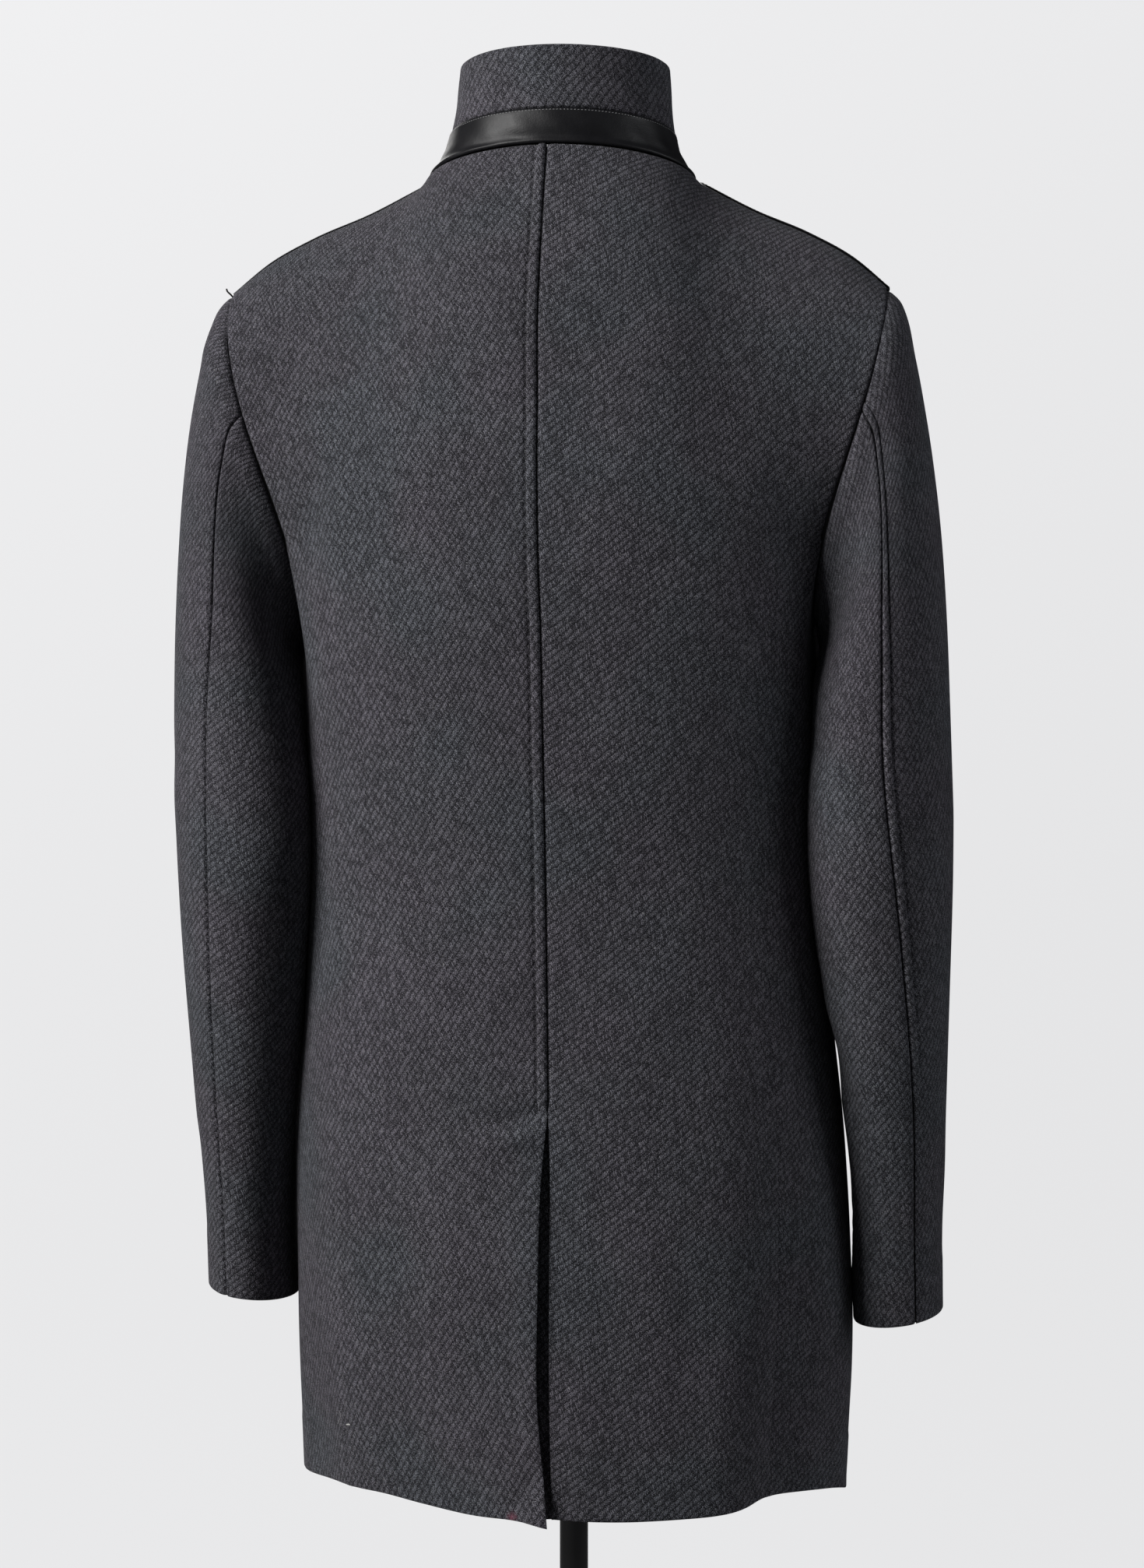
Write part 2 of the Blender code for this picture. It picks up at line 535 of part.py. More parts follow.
def cloth_wall(name, sheet, normals, thickness, material, side=1):
    """A wall of cloth inside a sheet. At a seam it is mitred along the shared normals."""
    length = np.linalg.norm(normals, axis=-1, keepdims=True)
    facing = np.clip(length, MITRE_LIMIT, 1)
    outer = opened(sheet, SEAM_GAP / facing)
    inner = outer - normals / np.where(length > 0, length, 1) * thickness / facing
    mirror = np.array((side, 1, 1))
    return wall(name, outer * mirror, inner * mirror, material)


def laid_on(name, points, normals, gap, thickness, material, side=1):
    """A piece that lies on another one, made from that one's points moved out."""
    mirror = np.array((side, 1, 1))
    under = points + normals * np.asarray(gap)[..., None]
    return wall(name, (under + normals * thickness) * mirror, under * mirror, material)


def finish(name, bm, material):
    mesh = bpy.data.meshes.new(name)
    bm.to_mesh(mesh)
    bm.free()
    mesh.shade_smooth()
    mesh.set_sharp_from_angle(angle=SMOOTH_ANGLE)
    mesh.materials.append(material)
    obj = bpy.data.objects.new(name, mesh)
    COLLECTION.objects.link(obj)
    return obj


# ---------------------------------------------------------------- materials
def material(name, colour, roughness, metallic=0.0):
    made = bpy.data.materials.new(name)
    made.use_nodes = True
    shader = made.node_tree.nodes["Principled BSDF"]
    shader.inputs["Base Color"].default_value = (*colour, 1)
    shader.inputs["Roughness"].default_value = roughness
    shader.inputs["Metallic"].default_value = metallic
    made.diffuse_color = (*colour, 1)
    return made


# ---------------------------------------------------------------- the coat
def coat_body_and_sleeves(wool):
    """The backs, fronts and sleeves, whose seams share their points and normals."""
    ring = sleeve_point(np.array(SLEEVE_REACHES)[:, None], armhole_angles(0, ARMHOLE_STEPS - 1)[None, :])
    sleeve_axis = ring.mean(axis=1, keepdims=True)
    band = collar_sheet(BAND_LEVELS)
    band_normals = sheet_normals(band, BODY_AXIS)
    fronts = {}
    for side, word in ((1, "left"), (-1, "right")):
        pieces = {
            f"back_{word}": (back_sheet(side), BODY_AXIS),
            f"front_{word}": (front_sheet(side), BODY_AXIS),
            f"sleeve_{word}_top": (sleeve_sheet(side, SLEEVE_CUT_BACK, SLEEVE_CUT_FRONT - ARMHOLE_STEPS), sleeve_axis),
            f"sleeve_{word}_under": (sleeve_sheet(side, SLEEVE_CUT_BACK, SLEEVE_CUT_FRONT), sleeve_axis),
        }
        sheets = [(sheet, sheet_normals(sheet, centre)) for sheet, centre in pieces.values()]
        mirror = np.array((side, 1, 1))
        shared = seam_normals(sheets + [(band * mirror, band_normals * mirror)])
        for name, (sheet, own), normals in zip(pieces, sheets, shared):
            cloth_wall(name, sheet, normals, CLOTH, wool, side)
            if name.startswith("front"):
                fronts[side] = sheet, own
    return fronts


def collar_and_band(wool, leather):
    band, collar = collar_sheet(BAND_LEVELS), collar_sheet(COLLAR_LEVELS)
    sheets = [(sheet, sheet_normals(sheet, COLLAR_AXIS)) for sheet in (band, collar)]
    below = []
    for side in (1, -1):
        mirror = np.array((side, 1, 1))
        for sheet in (back_sheet(side), front_sheet(side)):
            below.append((sheet * mirror, sheet_normals(sheet, BODY_AXIS) * mirror))
    shared = seam_normals(sheets + below)
    cloth_wall("collar_band", band, shared[0], LEATHER, leather)
    cloth_wall("collar", collar, shared[1], COLLAR_CLOTH, wool)


def shoulder_strips(fronts, leather):
    """A leather strip on each front, along the shoulder seam."""
    for side, word in ((1, "left"), (-1, "right")):
        sheet, normals = fronts[side]
        columns = slice(NECK_STEPS + 1, CENTRE_TO_EDGE + 2)
        top, below = sheet[-1, columns], sheet[-2, columns]
        down = below - top
        share = STRIP_WIDTH / np.linalg.norm(down, axis=-1, keepdims=True)
        across = np.linspace(STRIP_START, 1, 3)[:, None, None]
        points = top + down * share * across
        out = normals[-1, columns] + (normals[-2, columns] - normals[-1, columns]) * share * across
        out /= np.linalg.norm(out, axis=-1, keepdims=True)
        ends = points[:, (0, -1)] + (points[:, (1, -2)] - points[:, (0, -1)]) * STRIP_TRIM
        points[:, (0, -1)] = ends
        laid_on(f"shoulder_strip_{word}", points, out, STRIP_GAP, TRIM, leather, side)


def pocket_flaps(wool):
    """A flap on each front beside the hip, with its lower edge standing off a little."""
    angles = np.linspace(FLAP_BACK_ANGLE, FLAP_BACK_ANGLE + FLAP_SPAN, FLAP_COLUMNS + 1)
    across = np.linspace(-1, 1, FLAP_COLUMNS + 1)
    corner = np.clip((np.abs(across) - FLAP_ROUNDING_START) / (1 - FLAP_ROUNDING_START), 0, 1)
    rounding = FLAP_CORNER * corner ** 2
    down = np.linspace(0, 1, FLAP_ROWS + 1)[:, None]
    level = FLAP_TOP - (FLAP_DROP - rounding[None, :]) * down
    for side, word in ((1, "left"), (-1, "right")):
        spread = np.broadcast_to(angles, level.shape)
        points = body_point(spread, level)
        normals = outwards_normal(spread)
        points = points + normals * fold_height(spread, level, side)[..., None]
        gap = FLAP_GAP + FLAP_SWING * np.broadcast_to(down, level.shape) ** 2
        laid_on(f"pocket_flap_{word}", hung(points, side), normals, gap, FLAP_CLOTH, wool, side)


def on_front(fronts, level):
    """The point and the normal of the left front at the centre front and a level."""
    sheet, normals = fronts[1]
    column, facing = sheet[:, 1], normals[:, 1]
    row = np.interp(level, column[:, 2], np.arange(len(column)))
    low = int(row)
    share = row - low
    point = column[low] * (1 - share) + column[low + 1] * share
    normal = facing[low] * (1 - share) + facing[low + 1] * share
    return point, normal / np.linalg.norm(normal)


def buttons(fronts, horn):
    """Four-hole buttons on the left front, a turned disc with a raised rim."""
    for number, level in enumerate(BUTTON_LEVELS, 1):
        point, normal = on_front(fronts, level)
        disc = turned(f"button_{number}", BUTTON_PROFILE[::-1], horn, BUTTON_STEPS)
        disc.location = point + normal * BUTTON_SHANK
        disc.rotation_mode = "QUATERNION"
        disc.rotation_quaternion = Vector(normal).to_track_quat("Z", "Y")
        for hole in range(BUTTON_HOLES):
            turn = (hole + 0.5) * 2 * pi / BUTTON_HOLES
            cutter = peg_hole(f"{disc.name}_hole_{hole}")
            cutter.parent = disc
            cutter.location = (BUTTON_HOLE_OFFSET * np.cos(turn), BUTTON_HOLE_OFFSET * np.sin(turn), 0)
            cut = disc.modifiers.new("hole", "BOOLEAN")
            cut.object = cutter


def peg_hole(name):
    """A cutter for one of a button's holes, far longer than the button is thick."""
    bm = bmesh.new()
    bmesh.ops.create_cone(bm, segments=HOLE_STEPS, radius1=BUTTON_HOLE, radius2=BUTTON_HOLE,
                          depth=5 * BUTTON_HEIGHT, cap_ends=True)
    mesh = bpy.data.meshes.new(name)
    bm.to_mesh(mesh)
    bm.free()
    obj = bpy.data.objects.new(name, mesh)
    obj.hide_render = True
    obj.display_type = "WIRE"
    CUTTERS.objects.link(obj)
    return obj


def turned(name, profile, material, steps):
    """A turned solid from a profile (radius, height) that runs from top to bottom."""
    bm = bmesh.new()
    verts = [bm.verts.new((radius, 0, height)) for radius, height in profile]
    for pair in zip(verts, verts[1:]):
        bm.edges.new(pair)
    obj = finish(name, bm, material)
    screw = obj.modifiers.new("turn", "SCREW")
    screw.steps = screw.render_steps = steps
    screw.use_merge_vertices = True
    screw.merge_threshold = 0.00001
    return obj


# ---------------------------------------------------------------- the dress form
def dress_form(linen, metal):
    angles = np.linspace(0, 2 * pi, FORM_STEPS, endpoint=False)
    height, half_width, back, front, centre = (column[:, None] for column in FORM_SECTIONS.T)
    rings = level_outline(angles[None, :], height, half_width, back, front, centre, FORM_SQUARE, FORM_SQUARE)
    bm = bmesh.new()
    loops = [[bm.verts.new(point) for point in ring] for ring in rings]
    for low, high in zip(loops, loops[1:]):
        for step in range(FORM_STEPS):
            after = (step + 1) % FORM_STEPS
            bm.faces.new((low[step], low[after], high[after], high[step]))
    bm.faces.new(loops[0])
    bm.faces.new(loops[-1])
    bmesh.ops.recalc_face_normals(bm, faces=bm.faces[:])
    finish("form_torso", bm, linen)

    top = float(FORM_SECTIONS[0, 0]) - SEAM_GAP
    under_flange, foot = top - FLANGE_THICKNESS, BASE_SOCKET + SEAM_GAP
    pole = ((0.0, top), (FLANGE_RADIUS, top), (FLANGE_RADIUS, under_flange), (POLE_RADIUS, under_flange),
            (POLE_RADIUS, foot), (0.0, foot))
    turned("stand_pole", pole, metal, POLE_STEPS)
    boss_top = BASE_THICKNESS + BASE_BOSS_HEIGHT
    bore = POLE_RADIUS + SEAM_GAP
    base = ((0.0, BASE_SOCKET), (bore, BASE_SOCKET), (bore, boss_top), (BASE_BOSS_RADIUS - BASE_RIM, boss_top),
            (BASE_BOSS_RADIUS, boss_top - BASE_RIM), (BASE_BOSS_RADIUS, BASE_THICKNESS),
            (BASE_RADIUS - BASE_RIM, BASE_THICKNESS), (BASE_RADIUS, BASE_THICKNESS - BASE_RIM),
            (BASE_RADIUS, 0.0), (0.0, 0.0))
    turned("stand_base", base, metal, BASE_STEPS)


def main():
    for obj in list(bpy.data.objects):
        bpy.data.objects.remove(obj)
    bpy.context.scene.collection.children.link(COLLECTION)
    bpy.context.scene.collection.children.link(CUTTERS)
    wool = material("charcoal_wool", (0.045, 0.047, 0.052), 0.95)
    leather = material("black_leather", (0.012, 0.012, 0.013), 0.38)
    horn = material("dark_horn", (0.02, 0.018, 0.016), 0.35)
    linen = material("form_cover", (0.55, 0.53, 0.50), 0.9)
    metal = material("black_metal", (0.012, 0.012, 0.012), 0.35, 0.6)
    fronts = coat_body_and_sleeves(wool)
    collar_and_band(wool, leather)
    shoulder_strips(fronts, leather)
    pocket_flaps(wool)
    buttons(fronts, horn)
    dress_form(linen, metal)


main()
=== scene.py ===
"""The visible pieces of a long wool coat on a dress form: cloth, leather, buttons, stitches and stand.

Metres, +Z up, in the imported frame's place: the coat's front faces -Y and the wearer's left is +X.
The cloth is worked out from the same level outlines, armhole, neckline and shoulder line as the
frame's solids, on finer grids, and then gets its seams, its welts, its creases and its weave.
"""

from functools import lru_cache
from math import cos, pi, radians, sin, tan

import bmesh
import bpy
import numpy as np
from mathutils import Matrix, Vector


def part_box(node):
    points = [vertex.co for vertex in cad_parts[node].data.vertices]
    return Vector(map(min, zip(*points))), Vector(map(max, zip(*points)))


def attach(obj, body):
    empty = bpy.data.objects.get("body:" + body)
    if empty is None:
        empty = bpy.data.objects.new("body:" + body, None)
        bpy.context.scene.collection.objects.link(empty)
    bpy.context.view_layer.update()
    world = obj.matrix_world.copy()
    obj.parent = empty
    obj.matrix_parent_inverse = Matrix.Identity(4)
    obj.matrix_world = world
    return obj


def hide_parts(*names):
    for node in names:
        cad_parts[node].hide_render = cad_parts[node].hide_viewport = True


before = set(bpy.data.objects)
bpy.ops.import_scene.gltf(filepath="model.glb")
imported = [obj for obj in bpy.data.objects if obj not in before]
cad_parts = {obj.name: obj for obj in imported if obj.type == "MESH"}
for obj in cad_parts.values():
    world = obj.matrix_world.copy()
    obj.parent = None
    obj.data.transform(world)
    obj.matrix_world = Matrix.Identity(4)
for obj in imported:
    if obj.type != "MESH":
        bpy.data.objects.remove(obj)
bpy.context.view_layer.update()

bl_info = {
    "name": "Long Coat on a Dress Form",
    "version": (1, 0, 0),
    "blender": (4, 5, 0),
    "location": "3D View > Sidebar > Coat",
    "description": "Makes the cloth, leather, buttons and stand of a long coat round its packed frame",
    "category": "Object",
}

# ---------------------------------------------------------------- the coat's outlines (metres)
CLOTH = 0.0025
COLLAR_CLOTH = 0.0036
LEATHER = 0.0022
TRIM = 0.0014
LAP_GAP = 0.0010
HEM_HEIGHT = 0.628
VENT_TOP = 0.885
SHOULDER_POINT = np.array((0.2175, 0.045, 1.4165))
UNDERARM_POINT = np.array((0.168, 0.020, 1.195))
ARMHOLE_SWELL, ARMHOLE_SWELL_REACH = 0.012, 0.12
SEAM_ANGLE, SEAM_ANGLE_ARMHOLE = radians(50), radians(68)
FRONT_LINE_ANGLE = radians(110)
FRONT_LAP_ANGLE = radians(5.2)
PULL_HEIGHT = 0.16
SEAM_SWING_START = 1.00
HEM_RISE_FADE = 0.2
NECK_LAP_ANGLE = radians(14)
NECK_CENTRE = 0.035
LAP_LIFT = COLLAR_CLOTH + LAP_GAP
LAP_RISE = radians(140), radians(24)      # where the left end starts to lift, and over how much

# height, half width, depth behind and before the centre, its place, how square back and front are
BODY_SECTIONS = np.array((
    (0.628, 0.1840, 0.144, 0.140, 0.000, 1.80, 2.10),
    (0.740, 0.1865, 0.146, 0.139, 0.000, 2.00, 2.20),
    (0.840, 0.1850, 0.146, 0.136, 0.000, 2.15, 2.30),
    (0.950, 0.1770, 0.139, 0.130, 0.003, 2.25, 2.30),
    (1.050, 0.1730, 0.134, 0.125, 0.008, 2.30, 2.30),
    (1.150, 0.1725, 0.137, 0.135, 0.014, 2.35, 2.35),
    (1.220, 0.1710, 0.138, 0.137, 0.018, 2.40, 2.35),
    (1.300, 0.1720, 0.136, 0.132, 0.020, 2.40, 2.35),
))
# side (1 wearer's left), angle from the centre back, height at the hem, half width, level of its end
FOLDS = (
    (-1, 37, 0.0060, 8, 1.05), (-1, 52, -0.0050, 7, 0.98), (-1, 76, 0.0030, 9, 0.90),
    (1, 30, -0.0030, 10, 1.00), (1, 46, 0.0040, 9, 1.08), (1, 66, -0.0035, 9, 0.95),
    (-1, 124, 0.0050, 9, 0.95), (1, 124, 0.0050, 9, 0.95),
    (-1, 146, -0.0040, 9, 0.90), (1, 148, -0.0035, 9, 0.92),
)
# angle from the centre back, how far the hem rises on the left and on the right
HEM_RISE = np.array((
    (0, -0.0034, 0.0007), (6, -0.0010, 0.0000), (20, 0.0004, -0.0013), (32, 0.0034, -0.0006),
    (42, 0.0070, 0.0020), (47, 0.0070, 0.0045), (54, 0.0062, 0.0046), (70, 0.0022, 0.0006),
    (90, 0.0000, -0.0085),
    (140, 0.0000, -0.0010), (186, 0.0000, 0.0000),
))
# share of the shoulder line from the neck to the sleeve, x, y, z
SHOULDER_LINE = np.array((
    (0.00, 0.0885, 0.035, 1.4900), (0.30, 0.1270, 0.038, 1.4695), (0.60, 0.1650, 0.041, 1.4530),
    (0.82, 0.1940, 0.043, 1.4365), (1.00, 0.2175, 0.045, 1.4165),
))
# level, half width, back, front, height at the back, the sides and the front
COLLAR_SECTIONS = np.array((
    (0.00, 0.0885, 0.1040, -0.0560, 1.5080, 1.4900, 1.4240),
    (0.14, 0.0815, 0.1036, -0.0550, 1.5160, 1.4995, 1.4320),
    (0.34, 0.0764, 0.1030, -0.0535, 1.5270, 1.5130, 1.4440),
    (0.42, 0.0746, 0.1025, -0.0530, 1.5310, 1.5210, 1.4480),
    (0.60, 0.0722, 0.1010, -0.0515, 1.5430, 1.5360, 1.4630),
    (0.82, 0.0708, 0.0995, -0.0500, 1.5595, 1.5520, 1.4800),
    (1.00, 0.0696, 0.0985, -0.0490, 1.5730, 1.5660, 1.4950),
))
BAND_TOP = 0.42
# distance along the sleeve, its outer and inner point (x, z), middle, lean, depth behind and before
SLEEVE_SECTIONS = np.array((
    (0.000, 0.2175, 1.4165, 0.1680, 1.1950, 0.0325, 0.0125, 0.062, 0.066),
    (0.022, 0.2285, 1.4020, 0.1705, 1.1945, 0.0335, 0.0110, 0.063, 0.067),
    (0.055, 0.2365, 1.3720, 0.1735, 1.1900, 0.0350, 0.0090, 0.064, 0.068),
    (0.095, 0.2435, 1.3360, 0.1748, 1.1810, 0.0370, 0.0060, 0.066, 0.069),
    (0.140, 0.2492, 1.2940, 0.1725, 1.1680, 0.0390, 0.0030, 0.067, 0.070),
    (0.190, 0.2540, 1.2450, 0.1690, 1.1510, 0.0410, -0.0020, 0.068, 0.070),
    (0.235, 0.2568, 1.2000, 0.1670, 1.1300, 0.0430, -0.0060, 0.067, 0.069),
    (0.285, 0.2584, 1.1500, 0.1640, 1.1030, 0.0440, -0.0080, 0.065, 0.067),
    (0.335, 0.2590, 1.1000, 0.1620, 1.0720, 0.0440, -0.0080, 0.063, 0.065),
    (0.390, 0.2584, 1.0450, 0.1630, 1.0340, 0.0420, -0.0080, 0.061, 0.063),
    (0.445, 0.2568, 0.9900, 0.1675, 0.9840, 0.0360, -0.0060, 0.059, 0.060),
    (0.505, 0.2545, 0.9300, 0.1750, 0.9250, 0.0260, -0.0040, 0.057, 0.057),
    (0.565, 0.2518, 0.8700, 0.1815, 0.8640, 0.0140, -0.0020, 0.055, 0.055),
    (0.625, 0.2482, 0.8100, 0.1875, 0.8020, 0.0040, 0.0000, 0.053, 0.053),
    (0.688, 0.2480, 0.7470, 0.1885, 0.7390, -0.0040, 0.0000, 0.052, 0.052),
))
SLEEVE_LENGTH = SLEEVE_SECTIONS[-1, 0]
# distance along the sleeve, how many degrees its back seam is turned outwards, left and right
SLEEVE_SEAM_TURN = np.array((
    (0.000, 0.0, 0.0), (0.060, -1.0, -4.0), (0.125, -2.5, -8.0), (0.190, -3.5, -11.0),
    (0.290, 3.5, -11.5), (0.447, 7.5, 2.0), (0.560, 7.5, 10.0), (0.688, 6.0, 9.5),
))
SLEEVE_REST_GAP = 0.0006
HIP_GAP = {1: 0.0, -1: 0.0070}
HIP_GAP_LEVEL, HIP_GAP_SPREAD = 0.885, 0.100
REST_REACH = (0.06, 0.14)
CUFF_DROP = {1: -0.0040, -1: 0.0065}
# height, how far the coat hangs off the pole towards the wearer's left
SWAY = np.array((
    (0.60, -0.0015), (0.90, 0.0028), (1.15, 0.0060), (1.35, 0.0070), (1.50, 0.0040), (1.58, 0.0025),
))
ARMHOLE_STEPS = 24
CUT_BACK, CUT_FRONT = 8, 16
SLEEVE_CUT_BACK, SLEEVE_CUT_FRONT = 5, 17
NECK_SHARE = 0.5                  # the neckline's share of a panel's top, the shoulder has the rest
JUNCTION_HEIGHT = float((SHOULDER_POINT + UNDERARM_POINT)[2] / 2
                        + (SHOULDER_POINT - UNDERARM_POINT)[2] / 2 * cos(2 * pi * CUT_BACK / ARMHOLE_STEPS))

FLAP_TOP, FLAP_DROP, FLAP_CORNER, FLAP_CLOTH = 0.985, 0.066, 0.010, 0.0040
FLAP_BACK_ANGLE, FLAP_SPAN = radians(96.5), radians(43)
FLAP_GAP, FLAP_SWING = 0.0008, 0.0035
STRIP_WIDTH, STRIP_GAP = 0.012, 0.0006
BUTTON_RADIUS, BUTTON_HEIGHT, BUTTON_HOLE, BUTTON_HOLE_OFFSET = 0.014, 0.0042, 0.0011, 0.0036
BUTTON_SHANK = 0.0015
BUTTON_LEVELS = (1.350, 1.225, 1.095, 0.965)

# height, half width, back, front, centre
FORM_SECTIONS = np.array((
    (0.850, 0.1600, 0.122, 0.112, 0.000), (0.880, 0.1640, 0.126, 0.115, 0.000),
    (0.950, 0.1580, 0.122, 0.110, 0.003), (1.050, 0.1480, 0.114, 0.105, 0.008),
    (1.150, 0.1530, 0.120, 0.116, 0.014), (1.230, 0.1560, 0.122, 0.119, 0.018),
    (1.310, 0.1580, 0.113, 0.108, 0.026), (1.370, 0.1620, 0.092, 0.086, 0.034),
    (1.408, 0.1600, 0.067, 0.063, 0.038), (1.434, 0.1400, 0.052, 0.051, 0.038),
    (1.455, 0.1100, 0.049, 0.052, 0.035), (1.472, 0.0820, 0.049, 0.054, 0.030),
    (1.484, 0.0650, 0.050, 0.053, 0.028), (1.500, 0.0590, 0.050, 0.051, 0.028),
))
FORM_SQUARE = 2.25
POLE_RADIUS = 0.0095
BASE_RADIUS, BASE_THICKNESS = 0.175, 0.008
BASE_BOSS_RADIUS, BASE_BOSS_HEIGHT = 0.026, 0.040
FLANGE_RADIUS, FLANGE_THICKNESS = 0.045, 0.006

# ---------------------------------------------------------------- how the cloth is sewn
SEAM_OPENING = 0.00012            # each piece stops this far short of its seam
SHUT = 0.85                       # how much less it does at a seam that is pressed flat
NEAR_SEAM = np.array((0, 0.0004, 0.0009, 0.0015, 0.0023, 0.0034, 0.0048, 0.0068, 0.0095, 0.013))
NEAR_WELT = np.array((0, 0.0004, 0.0009, 0.0015, 0.0024, 0.0036, 0.0047, 0.0053, 0.0058, 0.0063,
                      0.0069, 0.0078, 0.0095, 0.013))
NEAR_HEM = np.array((0, 0.0004, 0.0010, 0.0018, 0.0030, 0.0050, 0.0080))
SPACING = 0.0042                  # between columns and rows away from the seams
FACING_DEPTH = 0.036              # wool turned up inside the hem and the cuffs
FRONT_FACING = 0.085              # wool inside the front edges
# share of the vent's height from its top, angles of its left and right edges towards their own sides
VENT_EDGES = np.array((
    (0.00, 0.0, 0.0), (0.13, 0.9, 0.1), (0.43, 2.1, -0.3), (0.74, 3.0, -0.8), (1.00, 1.5, -0.9),
))
UNDERLAP = radians(-13), radians(5), 0.010      # how far it reaches left and right, and up past the vent
UNDERLAP_RECESS = 0.0030
# height, how far the centre back seam swings towards the wearer's left there
CENTRE_SWING = np.array((
    (1.198, 0.0), (1.245, 0.0010), (1.300, 0.0015), (1.345, 0.0019), (1.388, 0.0032), (1.450, 0.0036),
    (1.510, 0.0037),
))
# height, how far the right side stands out there
SIDE_WAVE = np.array((
    (0.628, -0.0026), (0.665, -0.0016), (0.705, 0.0004), (0.745, 0.0018), (0.790, 0.0014), (0.850, 0.0),
    (0.900, 0.0),
))
EVENING = 0.011                   # the surface is evened out over this distance
# sizes of the dark strips inside the seams, painted shade that keeps light from showing through the seams' gaps
SHADE_TAPE_WIDTH, SHADE_TAPE_THICKNESS, SHADE_TAPE_DEPTH = 0.0046, 0.0018, 0.0034

# how the diagonal of the weave climbs on each piece, in degrees from level
WALE_ANGLES = {
    "back_left": 57, "back_right": 39, "front_left": 57, "front_right": 39,
    "sleeve_left_top": 42, "sleeve_left_under": 40, "sleeve_right_top": 50, "sleeve_right_under": 47,
    "collar": 40, "vent_underlap": 40, "pocket_flap": 45,
}
# creases by piece: three points, each a distance from the first edge and a height, then how high the
# crease stands and its half width
CREASES = {
    "back_left": (
        (-0.002, 0.8890, 0.014, 0.8825, 0.040, 0.8785, -0.0040, 0.0048),
        (-0.002, 0.8770, 0.016, 0.8715, 0.044, 0.8665, 0.0034, 0.0090),
        (0.024, 0.6300, 0.012, 0.6480, 0.001, 0.6610, -0.0024, 0.0055),
        (0.150, 1.3050, 0.166, 1.2700, 0.172, 1.2350, -0.0030, 0.0130),
        (0.128, 1.3000, 0.142, 1.2600, 0.146, 1.2150, 0.0022, 0.0150),
        (0.060, 0.7900, 0.075, 0.7100, 0.078, 0.6300, 0.0014, 0.0160),
        (0.110, 1.1000, 0.118, 1.0300, 0.116, 0.9500, -0.0012, 0.0200),
    ),
    "back_right": (
        (0.155, 1.3050, 0.168, 1.2750, 0.172, 1.2350, -0.0022, 0.0120),
        (0.060, 1.0400, 0.078, 0.9700, 0.086, 0.8900, -0.0010, 0.0220),
        (0.030, 0.8400, 0.040, 0.7400, 0.042, 0.6300, -0.0013, 0.0140),
        (0.066, 0.8200, 0.076, 0.7200, 0.078, 0.6300, 0.0012, 0.0150),
    ),
    "front_left": (
        (0.300, 1.3000, 0.285, 1.2600, 0.280, 1.2200, -0.0028, 0.0130),
        (0.060, 1.3000, 0.075, 1.2200, 0.080, 1.1300, 0.0012, 0.0220),
        (0.120, 0.8800, 0.128, 0.7800, 0.130, 0.6400, -0.0016, 0.0180),
        (0.205, 0.9000, 0.215, 0.7800, 0.220, 0.6400, 0.0014, 0.0160),
        (0.090, 1.0900, 0.150, 1.0700, 0.210, 1.0600, -0.0010, 0.0120),
    ),
    "front_right": (
        (0.300, 1.3050, 0.290, 1.2700, 0.282, 1.2300, -0.0024, 0.0120),
        (0.070, 1.3100, 0.082, 1.2300, 0.086, 1.1500, 0.0011, 0.0240),
        (0.110, 0.8700, 0.118, 0.7600, 0.122, 0.6400, -0.0013, 0.0170),
        (0.225, 0.9000, 0.232, 0.7900, 0.236, 0.6400, 0.0016, 0.0180),
        (0.100, 1.1050, 0.160, 1.0800, 0.215, 1.0750, -0.0008, 0.0130),
    ),
    "sleeve_left_top": (
        (0.020, 1.3550, 0.050, 1.3750, 0.085, 1.3800, 0.0014, 0.0110),
        (0.010, 1.1300, 0.040, 1.1120, 0.080, 1.1080, -0.0005, 0.0150),
        (0.015, 1.0950, 0.045, 1.0800, 0.090, 1.0820, 0.0004, 0.0160),
        (0.030, 0.8600, 0.055, 0.8300, 0.075, 0.7900, -0.0008, 0.0140),
    ),
    "sleeve_left_under": (
        (0.010, 1.1500, 0.040, 1.1280, 0.080, 1.1250, -0.0016, 0.0100),
        (0.015, 1.1100, 0.050, 1.0920, 0.090, 1.0980, 0.0012, 0.0110),
        (0.070, 1.0500, 0.045, 1.0000, 0.040, 0.9300, -0.0014, 0.0130),
    ),
    "sleeve_right_top": (
        (0.020, 1.3600, 0.048, 1.3780, 0.085, 1.3820, 0.0012, 0.0120),
        (0.008, 1.1250, 0.040, 1.1080, 0.085, 1.1060, -0.0005, 0.0160),
        (0.020, 1.0850, 0.055, 1.0700, 0.095, 1.0740, 0.0004, 0.0170),
        (0.025, 0.8800, 0.050, 0.8350, 0.070, 0.7900, 0.0009, 0.0150),
    ),
    "sleeve_right_under": (
        (0.085, 0.9500, 0.060, 0.9050, 0.040, 0.8650, -0.0022, 0.0100),
        (0.070, 0.9600, 0.044, 0.9150, 0.026, 0.8800, 0.0014, 0.0110),
        (0.010, 1.1400, 0.045, 1.1200, 0.085, 1.1180, -0.0014, 0.0110),
    ),
}
# small things on the cloth that the light picks out
SMUDGE_PLACE, SMUDGE_RADIUS, SMUDGE_COLOUR = (0.0260, 0.143, 0.6300), 0.0046, (0.22, 0.075, 0.11, 1)
FLUFF_ON_HEM = (0.143, 0.666)     # distance from the centre back, height
BUTTON_INSET = 0.0127             # from the left front's edge to a button
BUTTONHOLE = 0.0187, 0.0367       # from the left front's edge to the slit's two ends
FLAP_STITCHES = 0.0058            # from a flap's edge to its stitches

